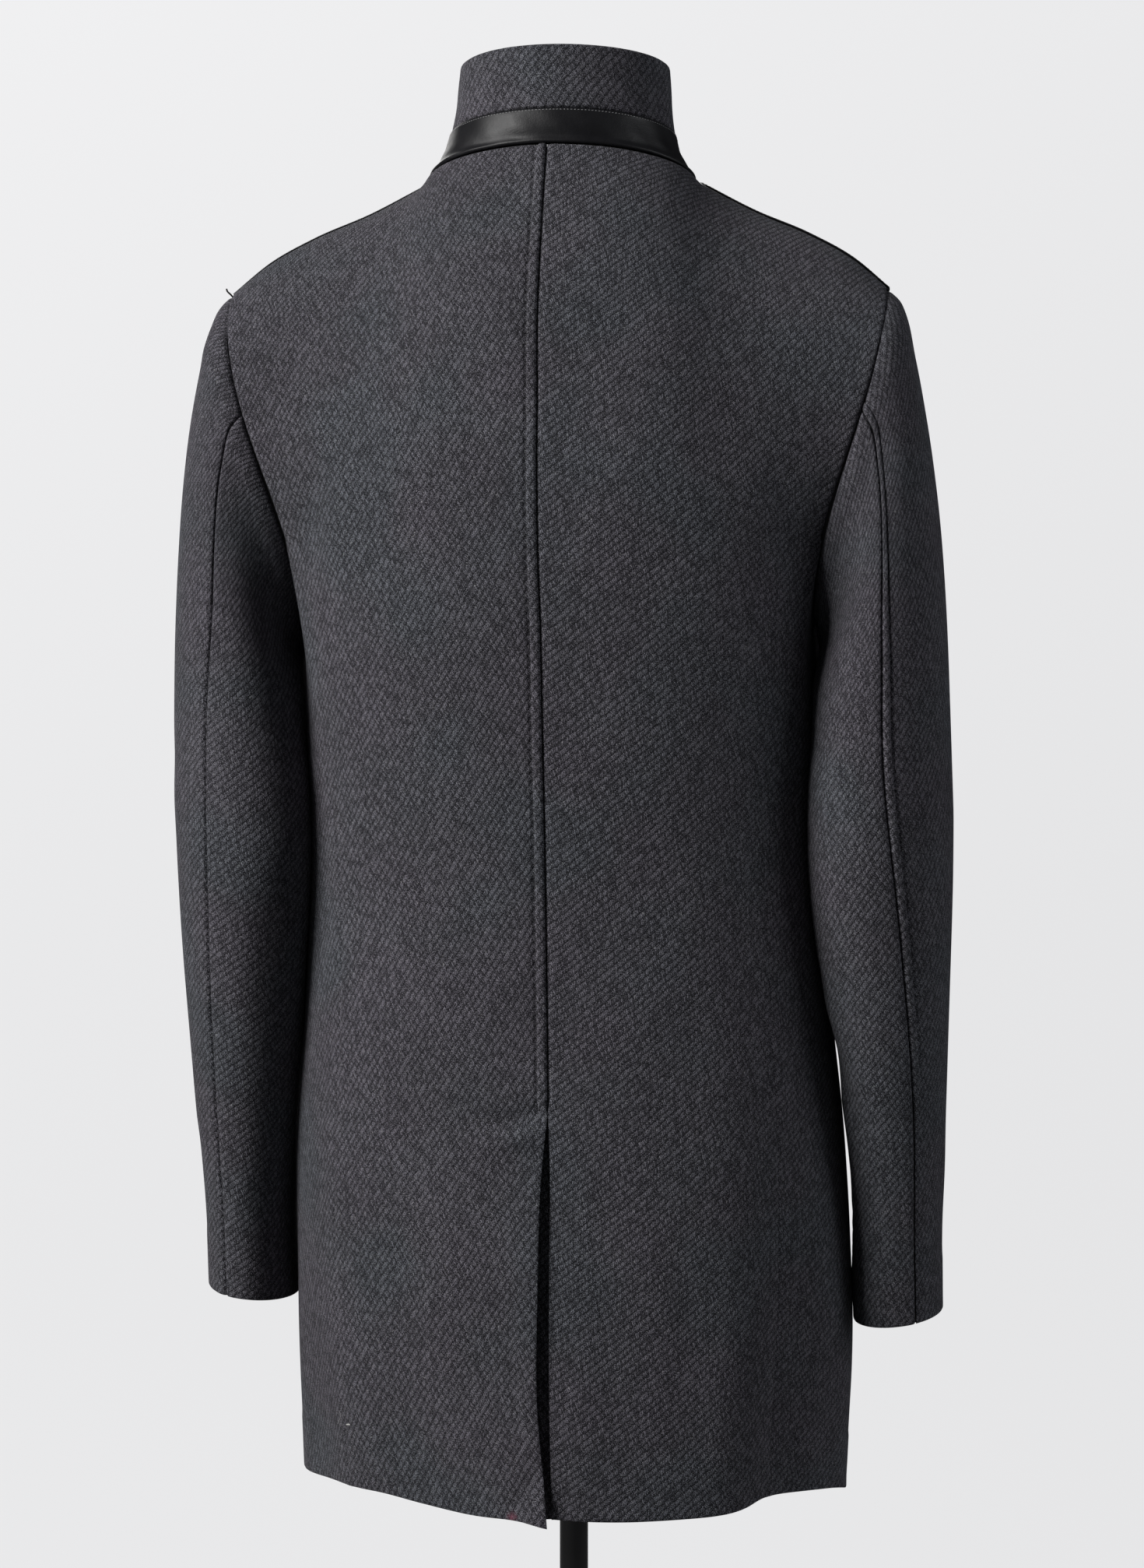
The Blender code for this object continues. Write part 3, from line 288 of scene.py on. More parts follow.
BODY_AXIS = (0, 0.02, 0)          # what a body panel faces away from
VENT_FACING = 0.04                # wool inside the vent's edges
BAND_STITCH_ROW = -4              # counted down from the band's top edge
STRIP_SHORT = 0.004               # the strips end this far short of the sleeve
SMOOTHING = 63                    # places over which a top line is evened out

SIDES = {1: "left", -1: "right"}  # the wearer's own
MERGE = 0.00002                   # points closer than this are one
SHARP = radians(50)               # a fold that is steeper than this shows as an edge


# ---------------------------------------------------------------- curves and outlines
def smooth_rows(table, at):
    """The table's other columns at the given values of its first, on smooth curves."""
    place, values = table[:, 0], table[:, 1:]
    slope = np.gradient(values, place, axis=0)
    at = np.clip(np.asarray(at, float), place[0], place[-1])
    low = np.clip(np.searchsorted(place, at, side="right") - 1, 0, len(place) - 2)
    span = (place[low + 1] - place[low])[..., None]
    share = (at[..., None] - place[low][..., None]) / span
    curve = ((2 * share ** 3 - 3 * share ** 2 + 1) * values[low]
             + (3 * share ** 2 - 2 * share ** 3) * values[low + 1]
             + (share ** 3 - 2 * share ** 2 + share) * slope[low] * span
             + (share ** 3 - share ** 2) * slope[low + 1] * span)
    return np.moveaxis(curve, -1, 0)


def for_side(table, at, side):
    """The smooth value of a table that has a column for the left and one for the right."""
    left, right = smooth_rows(table, at)
    return left if side > 0 else right


def ease(share):
    """0 to 1 with a soft start and end."""
    share = np.clip(share, 0, 1)
    return share * share * (3 - 2 * share)


def hump(value, half_width):
    """1 at 0, dying out softly to both sides."""
    return np.exp(-(value / half_width) ** 2)


def signed_power(value, power):
    return np.sign(value) * np.abs(value) ** power


def level_outline(angle, height, half_width, back, front, centre, back_square, front_square):
    """A point of a level outline: angle 0 at the centre back, pi at the centre front."""
    behind = np.cos(angle) > 0
    power = 2 / np.where(behind, back_square, front_square)
    x = half_width * signed_power(np.sin(angle), power)
    y = centre + np.where(behind, back, front) * signed_power(np.cos(angle), power)
    return np.stack(np.broadcast_arrays(x, y, height), -1)


def body_point(angle, height):
    angle, height = np.broadcast_arrays(np.asarray(angle, float), np.asarray(height, float))
    return level_outline(angle, height, *smooth_rows(BODY_SECTIONS, height))


def outwards(angle):
    return np.stack((np.sin(angle), np.cos(angle), np.zeros(np.shape(angle))), -1)


def sleeve_point(reach, angle):
    """A point of the sleeve's outside: angle 0 along its outer side, pi/2 at the back."""
    reach, angle = np.broadcast_arrays(np.asarray(reach, float), np.asarray(angle, float))
    outer_x, outer_z, inner_x, inner_z, middle, lean, back, front = smooth_rows(SLEEVE_SECTIONS, reach)
    across, along = np.cos(angle), np.sin(angle)
    swell = ARMHOLE_SWELL * along ** 2 * across * ease(1 - reach / ARMHOLE_SWELL_REACH) * (along > 0)
    x = (outer_x + inner_x) / 2 + (outer_x - inner_x) / 2 * across + swell
    y = middle + lean * across + np.where(along > 0, back, front) * along
    z = (outer_z + inner_z) / 2 + (outer_z - inner_z) / 2 * across
    return np.stack((x, y, z), -1)


def armhole_point(step):
    """The armhole seam at a step of it: step 0 is the shoulder point."""
    return sleeve_point(0.0, np.asarray(step, float) * 2 * pi / ARMHOLE_STEPS)


def body_half_width(points):
    """How far out the body's side is at the depth and the height of the given points."""
    half_width, back, front, centre, back_square, front_square = smooth_rows(BODY_SECTIONS, points[..., 2])
    behind = points[..., 1] > centre
    share = np.clip(np.abs(points[..., 1] - centre) / np.where(behind, back, front), 0, 1)
    square = np.where(behind, back_square, front_square)
    return half_width * (1 - share ** square) ** (1 / square)


def lap_weight(angle):
    """How fully the left front is lifted over the right one, by the angle round the neck."""
    start, over = LAP_RISE
    return ease((np.abs(angle) - start) / over) * (angle > 0)


def collar_point(level, angle, lift):
    """A point of the collar's outside: angle 0 at the back, pi at the front."""
    level, angle = np.broadcast_arrays(np.asarray(level, float), np.asarray(angle, float))
    half_width, back, front, z_back, z_side, z_front = smooth_rows(COLLAR_SECTIONS, level)
    across, along = np.sin(angle), np.cos(angle)
    raised = lift * lap_weight(angle)
    x = (half_width + raised) * across
    y = NECK_CENTRE + np.where(along > 0, back - NECK_CENTRE, NECK_CENTRE - front + raised) * along
    forward = np.clip(-along, 0, 1) ** 1.6
    z = z_side + (z_back - z_side) * np.clip(along, 0, 1) + (z_front - z_side) * forward
    return np.stack((x, y, z), -1)


def hem_lift(angle, height, side):
    """How far the uneven hem lifts the cloth, less and less above it."""
    rise = for_side(HEM_RISE, np.degrees(np.abs(angle)), side)
    return rise * (1 - ease((height - HEM_HEIGHT) / HEM_RISE_FADE))


def fold_height(angle, height, side):
    """How far the cloth stands out in the skirt's soft folds."""
    total = np.zeros(np.broadcast(angle, height).shape)
    for fold_side, fold_angle, ridge, half_width, top in FOLDS:
        if fold_side == side:
            across = hump(np.degrees(angle) - fold_angle, half_width)
            total = total + ridge * across * ease((top - height) / (top - HEM_HEIGHT)) ** 1.3
    return total


def hung(points, side):
    """The points where the coat hangs, mirrored on the wearer's right."""
    sway, = smooth_rows(SWAY, points[..., 2])
    return points * (side, 1, 1) + np.stack((sway, 0 * sway, 0 * sway), -1)


def seam_angle(height):
    """The side-back seam's angle: it swings forward as it nears the armhole."""
    swing = ease((height - SEAM_SWING_START) / (JUNCTION_HEIGHT - SEAM_SWING_START))
    return SEAM_ANGLE + (SEAM_ANGLE_ARMHOLE - SEAM_ANGLE) * swing


# ---------------------------------------------------------------- the pieces' surfaces
def level_height(levels):
    """Levels 0 to 1 run from the hem to the armhole's lower corners; above 1 they stay there."""
    return HEM_HEIGHT + (JUNCTION_HEIGHT - HEM_HEIGHT) * np.clip(levels, 0, 1)[:, None]


def skirt(angles, height, side, lift=0.0):
    """The body below the armholes: its outlines with the soft folds and the uneven hem."""
    stands_out = fold_height(angles, height, side) + lift
    points = body_point(angles, height) + outwards(angles) * stands_out[..., None]
    points[..., 2] += hem_lift(angles, height, side)
    return points


def pull_of(height):
    return np.clip(1 - (JUNCTION_HEIGHT - height) / PULL_HEIGHT, 0, 1)[..., None] ** 2


def shoulder_arc(share, row, low, top):
    """From the chest over the shoulder: row 0 at low and row 1 at top."""
    turn = radians(55) + radians(33) * ease(share / 0.45)
    rise = np.sin(turn * row) / np.sin(turn)
    reach = (np.cos(turn * row) - np.cos(turn)) / (1 - np.cos(turn))
    x = low[..., 0] + (top[..., 0] - low[..., 0]) * row
    y = top[..., 1] + (low[..., 1] - top[..., 1]) * reach
    z = low[..., 2] + (top[..., 2] - low[..., 2]) * rise
    return np.stack(np.broadcast_arrays(x, y, z), -1)


def over_shoulder(place, levels, low, top_of, corner, edge_step, last_step):
    """The chest or the back above the armhole's corner, held to the armhole at its outer side.

    top_of gives the top line at a share. Its corner, where the neckline meets the shoulder,
    only shapes the cloth close to it.
    """
    row, share = np.clip(levels - 1, 0, 1)[:, None], np.clip(place, 0, 1)
    dense = np.linspace(0, 1, 201)
    line = top_of(dense)
    window = np.hanning(SMOOTHING)[1:-1]
    padded = np.pad(line, ((SMOOTHING // 2 - 1,) * 2, (0, 0)), "reflect", reflect_type="odd")
    even = np.stack([np.convolve(column, window / window.sum(), "valid") for column in padded.T], -1)
    rounding = (even - line) * hump(dense - NECK_SHARE, 0.2)[:, None]
    change = np.stack([np.interp(share, dense, column) for column in rounding.T], -1)
    arc = shoulder_arc(share, row, low, top_of(place) + change * (1 - row ** 5)[..., None])
    end = shoulder_arc(np.ones_like(row), row, corner[None, None], SHOULDER_POINT[None, None])
    edge = armhole_point(edge_step + (last_step - edge_step) * row)
    return arc + (edge - end) * (share ** 4)[..., None]


def top_line(share, neck_angle, lift):
    """Along the neckline to the shoulder, then along the shoulder line to the sleeve."""
    neck = collar_point(0.0, neck_angle, lift)
    along = np.clip((share - NECK_SHARE) / (1 - NECK_SHARE), 0, 1)
    shoulder = np.moveaxis(smooth_rows(SHOULDER_LINE, along), 0, -1)
    return np.where((share <= NECK_SHARE)[..., None], neck, shoulder)


def vent_edge(side, height):
    """The angle of a back panel's centre edge: 0 where the seam is sewn, then the vent's edges."""
    down = np.clip((VENT_TOP - height) / (VENT_TOP - HEM_HEIGHT), 0, 1)
    return np.radians(for_side(VENT_EDGES, down, side))


def back_surface(side, shares, levels):
    """A back panel: share 0 at the centre back, 1 at the side-back seam and the armhole."""
    height = level_height(levels)
    start = vent_edge(side, height)
    angles = start + (seam_angle(height) - start) * shares
    corner_angle, corner = seam_angle(JUNCTION_HEIGHT), armhole_point(CUT_BACK)
    level_row = body_point(corner_angle * shares, JUNCTION_HEIGHT)
    drawn = level_row + (corner - body_point(corner_angle, JUNCTION_HEIGHT)) * (shares ** 3)[..., None]
    lower = skirt(angles, height, side) + (drawn - level_row) * pull_of(height)

    def top_of(share):
        return top_line(share, share / NECK_SHARE * pi / 2, 0.0)

    upper = over_shoulder(shares, levels, drawn, top_of, corner, CUT_BACK, 0)
    return hung(np.where((levels > 1)[:, None, None], upper, lower), side)


def front_surface(side, shares, levels):
    """A front panel: share -1 at its edge, 0 at the centre front, 1 at the armhole's line."""
    height = level_height(levels)
    lapped, share = np.clip(-shares, 0, 1), np.clip(shares, 0, 1)
    angles = pi + (FRONT_LINE_ANGLE - pi) * share + FRONT_LAP_ANGLE * lapped
    full_lift = LAP_LIFT if side > 0 else 0.0

    def neck_angle(place):
        return pi - pi / 2 * np.clip(place / NECK_SHARE, 0, 1) + NECK_LAP_ANGLE * np.clip(-place, 0, 1)

    def top_of(place):
        return top_line(place, neck_angle(place), full_lift)

    lift = full_lift * lap_weight(neck_angle(shares))
    corner = armhole_point(CUT_FRONT)
    level_row = body_point(angles, JUNCTION_HEIGHT) + outwards(angles) * lift[..., None]
    drawn = level_row + (corner - body_point(FRONT_LINE_ANGLE, JUNCTION_HEIGHT)) * (share ** 3)[..., None]
    lower = skirt(angles, height, side, lift) + (drawn - level_row) * pull_of(height)
    upper = over_shoulder(shares, levels, drawn, top_of, corner, CUT_FRONT, ARMHOLE_STEPS)
    return hung(np.where((levels > 1)[:, None, None], upper, lower), side)


def underarm_surface(side, shares, levels):
    """The front panel's part under the arm: share 0 at the armhole's line, 1 at the side-back seam."""
    height = level_height(levels)
    angles = FRONT_LINE_ANGLE + (seam_angle(height) - FRONT_LINE_ANGLE) * shares
    top_angles = FRONT_LINE_ANGLE + (seam_angle(JUNCTION_HEIGHT) - FRONT_LINE_ANGLE) * shares
    armhole = armhole_point(CUT_FRONT + (CUT_BACK - CUT_FRONT) * shares)
    drawn_by = armhole - body_point(top_angles, JUNCTION_HEIGHT)
    return hung(skirt(angles, height, side) + drawn_by * pull_of(height), side)


def sleeve_surface(side, first, last, shares, levels):
    """Part of the sleeve between two steps of the armhole: level 0 at the cuff, 1 at the armhole."""
    reach = SLEEVE_LENGTH * (1 - levels)[:, None]
    angles = (first + (last - first) * shares) * 2 * pi / ARMHOLE_STEPS
    turn = np.radians(for_side(SLEEVE_SEAM_TURN, reach, side))
    points = sleeve_point(reach, angles - turn * np.maximum(np.sin(angles), 0))
    beside = np.maximum(points[..., 0] - body_half_width(points) - SLEEVE_REST_GAP, 0)
    begins, ends = ease((reach - 0.03) / 0.04), ease((0.24 - reach) / 0.08)
    points[..., 0] -= beside * hump(beside, 0.006) * begins * ends
    rests = ease((reach - REST_REACH[0]) / (REST_REACH[1] - REST_REACH[0]))
    hip_gap = HIP_GAP[side] * np.exp(-((points[..., 2] - HIP_GAP_LEVEL) / HIP_GAP_SPREAD) ** 4)
    inside = np.maximum(body_half_width(points) + SLEEVE_REST_GAP + hip_gap - points[..., 0], 0)
    points[..., 0] += inside * rests
    points[..., 2] -= CUFF_DROP[side] * (reach / SLEEVE_LENGTH) ** 2
    return hung(points, side)


def collar_surface(first, last, shares, levels):
    """The collar or its band between two levels: share -1 at its right end, 1 at its left end."""
    level = first + (last - first) * levels
    return hung(collar_point(level[:, None], shares * (pi + NECK_LAP_ANGLE), LAP_LIFT), 1)


def columns_at(surface, levels, ends, near_first, near_last, spacing=SPACING):
    """Shares of a sheet's columns, row by row, that keep their distances from both edges."""
    dense = np.broadcast_to(np.linspace(*ends, 241, axis=-1), (len(levels), 241))
    points = surface(dense, levels)
    steps = np.linalg.norm(np.diff(points, axis=1), axis=-1)
    along = np.pad(np.cumsum(steps, axis=1), ((0, 0), (1, 0)))
    middle = round((float(np.median(along[:, -1])) - near_first[-1] - near_last[-1]) / spacing)
    rows = []
    for length, row in zip(along, dense):
        inner = np.linspace(near_first[-1], length[-1] - near_last[-1], middle + 1)[1:-1]
        wanted = np.concatenate((near_first, inner, length[-1] - near_last[::-1]))
        rows.append(np.interp(wanted, length, row))
    return np.array(rows)


def body_levels():
    """Rows from the hem to the shoulder, close together at the hem, the underarm and the top."""
    drop, rise = JUNCTION_HEIGHT - HEM_HEIGHT, 0.25
    middle = np.arange(NEAR_HEM[-1] + SPACING, drop - NEAR_SEAM[-1], SPACING)
    lower = np.concatenate((NEAR_HEM, middle, drop - NEAR_SEAM[::-1])) / drop
    upper = np.concatenate((np.arange(SPACING, rise - NEAR_SEAM[-1], SPACING), rise - NEAR_SEAM[::-1])) / rise
    return np.concatenate((lower, 1 + upper))


# ---------------------------------------------------------------- sheets of cloth
def facing_out(points, centre):
    """A unit normal at each point, the average of the cells round it, away from the centre."""
    a, b, c, d = points[:-1, :-1], points[:-1, 1:], points[1:, 1:], points[1:, :-1]
    cell = np.nan_to_num(np.cross(c - a, d - b))
    total = np.zeros(points.shape)
    for rows in (slice(0, -1), slice(1, None)):
        for columns in (slice(0, -1), slice(1, None)):
            total[rows, columns] += cell
    length = np.linalg.norm(total, axis=-1, keepdims=True)
    normals = total / np.where(length > 0, length, 1)
    away = np.nansum((points - centre) * normals * (1, 1, 0))
    return normals if away > 0 else -normals


class Sheet:
    """A sheet of cloth: points in rows and columns, and how far each lies from the four edges."""

    def __init__(self, points, centre, evening=0.0):
        self.points = points
        across = np.nan_to_num(np.linalg.norm(np.diff(points, axis=1), axis=-1))
        upwards = np.nan_to_num(np.linalg.norm(np.diff(points, axis=0), axis=-1))
        self.first = np.pad(np.cumsum(across, axis=1), ((0, 0), (1, 0)))
        self.last = self.first[:, -1:] - self.first
        self.low = np.pad(np.cumsum(upwards, axis=0), ((1, 0), (0, 0)))
        self.high = self.low[-1:] - self.low
        self.edge = np.minimum.reduce((self.first, self.last, self.low, self.high))
        self.height = np.nan_to_num(points[..., 2])
        self.stand = np.zeros(points.shape[:2])
        self.shut = np.zeros(points.shape[:2])
        if evening:
            self.even_out(evening)
        self.normals = facing_out(self.points, centre)

    def even_out(self, reach):
        """Takes the kinks out of the surface, away from its edges."""
        known = ~np.isnan(self.points[..., 0])
        points = np.nan_to_num(self.points)
        for axis, along in ((1, self.first), (0, self.low)):
            place = np.moveaxis(along, axis, -1)
            size = np.gradient(place, axis=-1) * np.moveaxis(known, axis, -1)
            weight = hump(place[:, :, None] - place[:, None, :], reach) * size[:, None, :]
            even = weight @ np.moveaxis(points, axis, 1) / np.maximum(weight.sum(-1, keepdims=True), 1e-9)
            points = np.moveaxis(even, 1, axis)
        share = ease(self.edge / (2.2 * reach))[..., None]
        self.points = self.points + np.where(known[..., None], (points - self.points) * share, 0)

    def area(self):
        a, b, c, d = self.points[:-1, :-1], self.points[:-1, 1:], self.points[1:, 1:], self.points[1:, :-1]
        return float(np.nansum(np.linalg.norm(np.cross(c - a, d - b), axis=-1)) / 2)

    def crease(self, name):
        """Stands the cloth out, or in, along the creases of the piece."""
        place = np.stack((self.first, self.height), -1)
        for *line, ridge, half_width in CREASES.get(name, ()):
            line = np.reshape(line, (-1, 2))
            spans = np.linalg.norm(np.diff(line, axis=0), axis=1)
            nearest = np.full(self.stand.shape, np.inf)
            share = np.zeros(self.stand.shape)
            done = 0.0
            for start, end, span in zip(line, line[1:], spans):
                along = np.clip(((place - start) @ (end - start)) / span ** 2, 0, 1)
                away = np.linalg.norm(place - start - along[..., None] * (end - start), axis=-1)
                share = np.where(away < nearest, (done + along * span) / spans.sum(), share)
                nearest = np.minimum(nearest, away)
                done += span
            self.stand += ridge * hump(nearest, half_width) * (0.05 + 0.95 * np.sin(pi * share) ** 0.6)

    def unevenness(self, seed, amount=0.0005):
        """The slight waviness of cloth that has been worn and steamed, none at the seams."""
        turn = seed * 2.4
        wave = (np.sin(self.first / 0.031 + 1.7 * np.sin(self.low / 0.083 + turn) + turn)
                * np.sin(self.low / 0.047 + turn * 1.7)
                + 0.6 * np.sin(self.first / 0.017 - self.low / 0.029 + turn * 0.6))
        self.stand += amount * wave * ease(self.edge / 0.02)

    def seam_roll(self, away, depth, puff=0.0003):
        """The cloth turns down into a seam and stands a little proud beside it."""
        self.stand += puff * hump(away - 0.0055, 0.0035) - depth * hump(away, 0.0012)

    def welt(self, away, width, weight=1.0):
        """A seam allowance stitched down under the cloth: a low ridge from the seam to its stitches."""
        pucker = 1 + 0.30 * np.sin(self.low / 0.0019) * np.sin(self.low / 0.013)
        ridge = 0.0013 * ease(away / 0.0015) * (1 - ease((away - width + 0.0010) / 0.0014))
        dent = 0.0013 * pucker * hump(away - width, 0.0010)
        self.stand += weight * (ridge - dent - 0.0012 * hump(away, 0.0010))

    def outside(self):
        """The points of the cloth's outer face."""
        return self.points + self.normals * self.stand[..., None]

    def line(self, edge, distance, rows=slice(None)):
        """The points and normals at a distance from the first or last edge, one for each row."""
        order = slice(None) if edge == "first" else slice(None, None, -1)
        away = self.first if edge == "first" else self.last[:, order]
        both = np.concatenate((self.outside(), self.normals), axis=-1)[:, order]
        found = []
        for row in range(len(both))[rows]:
            known = ~np.isnan(both[row, :, 0])
            found.append([np.interp(distance, away[row][known], column) for column in both[row][known].T])
        found = np.array(found)
        return found[:, :3], found[:, 3:]

    def spot(self, away, height):
        """The row, the point and the normal at a distance from the first edge and at a height."""
        row = int(np.argmin(np.abs(self.height[:, 0] - height)))
        points, normals = self.line("first", away, slice(row, row + 1))
        return row, Vector(points[0]), Vector(normals[0]).normalized()


def opened(points, gap):
    """The sheet with its outermost points moved in a little, so that seams stay open."""
    padded = np.pad(points, ((1, 1), (1, 1), (0, 0)), constant_values=np.nan)
    moved = points.copy()
    neighbours = (padded[2:, 1:-1], padded[:-2, 1:-1]), (padded[1:-1, 2:], padded[1:-1, :-2])
    for pair in neighbours:
        for missing, inner in (pair, pair[::-1]):
            step = inner - points
            step = step / np.maximum(np.linalg.norm(step, axis=-1, keepdims=True), 1e-9)
            moved += np.where(np.isnan(missing), np.nan_to_num(step), 0) * gap
    return moved


def shell(name, outer, inner, weave, lined, materials):
    """A closed piece between two sheets of points, with the weave's place as its UV map.

    lined marks the points whose inner face shows the second material.
    """
    rows, columns = outer.shape[:2]
    bm = bmesh.new()
    bmesh.ops.create_grid(bm, x_segments=columns - 1, y_segments=rows - 1, size=1)
    empty = np.isnan(outer[..., 0])
    if empty.any():
        left_out = [vert for vert in bm.verts if empty[grid_place(vert, rows - 1, columns - 1)]]
        bmesh.ops.delete(bm, geom=left_out, context="VERTS")
    extruded = bmesh.ops.extrude_face_region(bm, geom=bm.faces[:], use_keep_orig=True)
    far = [item for item in extruded["geom"] if isinstance(item, bmesh.types.BMVert)]
    bmesh.ops.translate(bm, verts=far, vec=(0, 0, -1))
    bmesh.ops.recalc_face_normals(bm, faces=bm.faces[:])
    mesh = mesh_of(name, bm, *materials)

    grid = np.empty(len(mesh.vertices) * 3)
    mesh.vertices.foreach_get("co", grid)
    grid = grid.reshape(-1, 3)
    row = np.rint((grid[:, 1] + 1) / 2 * (rows - 1)).astype(int)
    column = np.rint((grid[:, 0] + 1) / 2 * (columns - 1)).astype(int)
    inside = grid[:, 2] < -0.5
    points = np.where(inside[:, None], inner[row, column], outer[row, column])
    mesh.vertices.foreach_set("co", points.ravel())

    corners = np.empty(len(mesh.loops), int)
    mesh.loops.foreach_get("vertex_index", corners)
    mesh.uv_layers.new(name="weave").data.foreach_set("uv", weave[row, column][corners].ravel())
    faces = corners.reshape(-1, 4)
    show_lining = (inside & lined[row, column])[faces].all(axis=1)
    mesh.polygons.foreach_set("material_index", show_lining.astype(int))
    mesh.update()
    centre, normal, area = (np.empty(len(mesh.polygons) * size) for size in (3, 3, 1))
    mesh.polygons.foreach_get("center", centre)
    mesh.polygons.foreach_get("normal", normal)
    mesh.polygons.foreach_get("area", area)
    if (centre.reshape(-1, 3) * normal.reshape(-1, 3) * area[:, None]).sum() < 0:
        mesh.flip_normals()
    return shown(name, mesh)


def mesh_of(name, bm, *materials):
    """The finished shape as a mesh with its materials."""
    mesh = bpy.data.meshes.new(name)
    bm.to_mesh(mesh)
    bm.free()
    for material in materials:
        mesh.materials.append(material)
    return mesh


def shown(name, mesh):
    mesh.shade_smooth()
    obj = bpy.data.objects.new(name, mesh)
    bpy.context.scene.collection.objects.link(obj)
    return obj


def grid_place(vert, rows, columns):
    """The row and the column of a point of a flat grid of that many cells."""
    return round((vert.co.y + 1) / 2 * rows), round((vert.co.x + 1) / 2 * columns)


def worn(obj, slot, *nodes):
    """The piece rides on the stand, and the frame's parts that it stands for are hidden; its slot is not used."""
    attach(obj, "root")
    if nodes:
        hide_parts(*nodes)
    return obj


def weave_of(sheet, name, rightwards, away=None):
    """The weave's place at each point: across the diagonal ribs and along them, in metres."""
    climb = radians(WALE_ANGLES[name])
    across, up = rightwards * (sheet.first if away is None else away), sheet.low
    return np.stack((across * sin(climb) - up * cos(climb), across * cos(climb) + up * sin(climb)), -1)


def cloth(name, sheet, weave, thickness, materials, lined=None, pressed=0.45):
    """A piece of cloth with soft edges, its seams pressed thinner than the rest."""
    thick = thickness * (1 - pressed * hump(sheet.edge, 0.0045))
    softness = 0.34 * thick * hump(sheet.edge, 0.0007) * (1 - SHUT * sheet.shut)
    base = opened(sheet.points, SEAM_OPENING * (1 - SHUT * sheet.shut)[..., None])
    outer = base + sheet.normals * (sheet.stand - softness)[..., None]
    inner = base + sheet.normals * (sheet.stand - thick + softness)[..., None]
    if lined is None:
        lined = np.zeros(sheet.stand.shape, bool)
    return shell(f"{name}_cloth", outer, inner, weave, lined, materials)


# ---------------------------------------------------------------- materials
# how much the ribs, the beads and the fibres each lighten the yarn, and where that starts; the ribs' share is
# painted light and shade, lighter rib tops and darker grooves
RIB_PAINTED_LIGHT, BEAD_LIGHT, FIBRE_LIGHT, LIGHT_START = 0.52, 0.20, 3.2, -1.56
FLECK_SCALE, FLECK_SHARPNESS, FLECK_START, FLECK_STRENGTH = 800.0, 9.0, -5.9, 0.6
RIB_ROUNDNESS, BEAD_ROUNDNESS, BEAD_LEAN = 0.8, 0.7, tan(radians(24))
LINING_RIB, COVER_YARN = 0.0008, 0.0011


def colour4(colour, strength=1.0):
    return (*(min(1.0, channel * strength) for channel in colour), 1.0)


class Tree:
    """Adds nodes to a material or a node group and joins them."""

    def __init__(self, tree):
        self.tree = tree

    def add(self, kind, inputs=None, **settings):
        node = self.tree.nodes.new(kind)
        for name, value in settings.items():
            setattr(node, name, value)
        for name, value in (inputs or {}).items():
            self.put(value, node.inputs[name])
        return node

    def put(self, value, socket):
        if isinstance(value, bpy.types.NodeSocket):
            self.tree.links.new(value, socket)
        else:
            socket.default_value = value

    def put_all(self, values, node):
        for value, socket in zip(values, node.inputs):
            self.put(value, socket)
        return node.outputs

    def on_object(self):
        """Each point's place on its object."""
        return self.add("ShaderNodeTexCoord").outputs["Object"]

    def on_weave(self):
        """Each point's place on the flat cloth."""
        return self.add("ShaderNodeUVMap", uv_map="weave").outputs["UV"]

    def split(self, vector):
        return self.add("ShaderNodeSeparateXYZ", {"Vector": vector}).outputs

    def math(self, operation, *values, clamp=False):
        return self.put_all(values, self.add("ShaderNodeMath", operation=operation, use_clamp=clamp))[0]

    def vector_math(self, operation, *values, **inputs):
        return self.put_all(values, self.add("ShaderNodeVectorMath", inputs, operation=operation))

    def wave(self, distance, length):
        """A wave along a distance, between -1 and 1."""
        return self.math("SINE", self.math("MULTIPLY", distance, 2 * pi / length))

    def ridges(self, count, roundness):
        """A ridge between each two whole numbers, 0 at its foot and 1 on top."""
        wave = self.math("SINE", self.math("MULTIPLY", count, pi))
        return self.math("POWER", self.math("ABSOLUTE", wave), roundness)

    def noise(self, vector, scale, detail=2.0, roughness=0.5, output="Fac"):
        inputs = {"Vector": vector, "Scale": scale, "Detail": detail, "Roughness": roughness}
        return self.add("ShaderNodeTexNoise", inputs).outputs[output]

    def mix(self, factor, first, second, blend="MIX"):
        node = self.add("ShaderNodeMix", data_type="RGBA", blend_type=blend)
        for value, place in ((factor, 0), (first, 6), (second, 7)):
            self.put(value, node.inputs[place])
        return node.outputs[2]

    def tones(self, factor, colour, dark, light):
        """From a darker to a lighter tone of one colour."""
        return self.mix(factor, colour4(colour, dark), colour4(colour, light))

    def ramp(self, factor, *stops):
        node = self.add("ShaderNodeValToRGB", {"Fac": factor})
        elements = node.color_ramp.elements
        while len(elements) < len(stops):
            elements.new(0.5)
        for element, (position, colour) in zip(elements, stops):
            element.position, element.color = position, colour
        return node.outputs["Color"]

    def span(self, value, low, high, to_low=0.0, to_high=1.0, **settings):
        """The value taken from one span to another."""
        inputs = {"Value": value, "From Min": low, "From Max": high, "To Min": to_low, "To Max": to_high}
        return self.add("ShaderNodeMapRange", inputs, **settings).outputs[0]

    def effect(self, name, values=None):
        """A shared effect with this material's own values."""
        return self.add("ShaderNodeGroup", values, node_tree=effect_group(name)).outputs

    def bump(self, height, strength, distance):
        """A normal that rises and falls with a height."""
        inputs = {"Height": height, "Strength": strength, "Distance": distance}
        return self.add("ShaderNodeBump", inputs).outputs["Normal"]


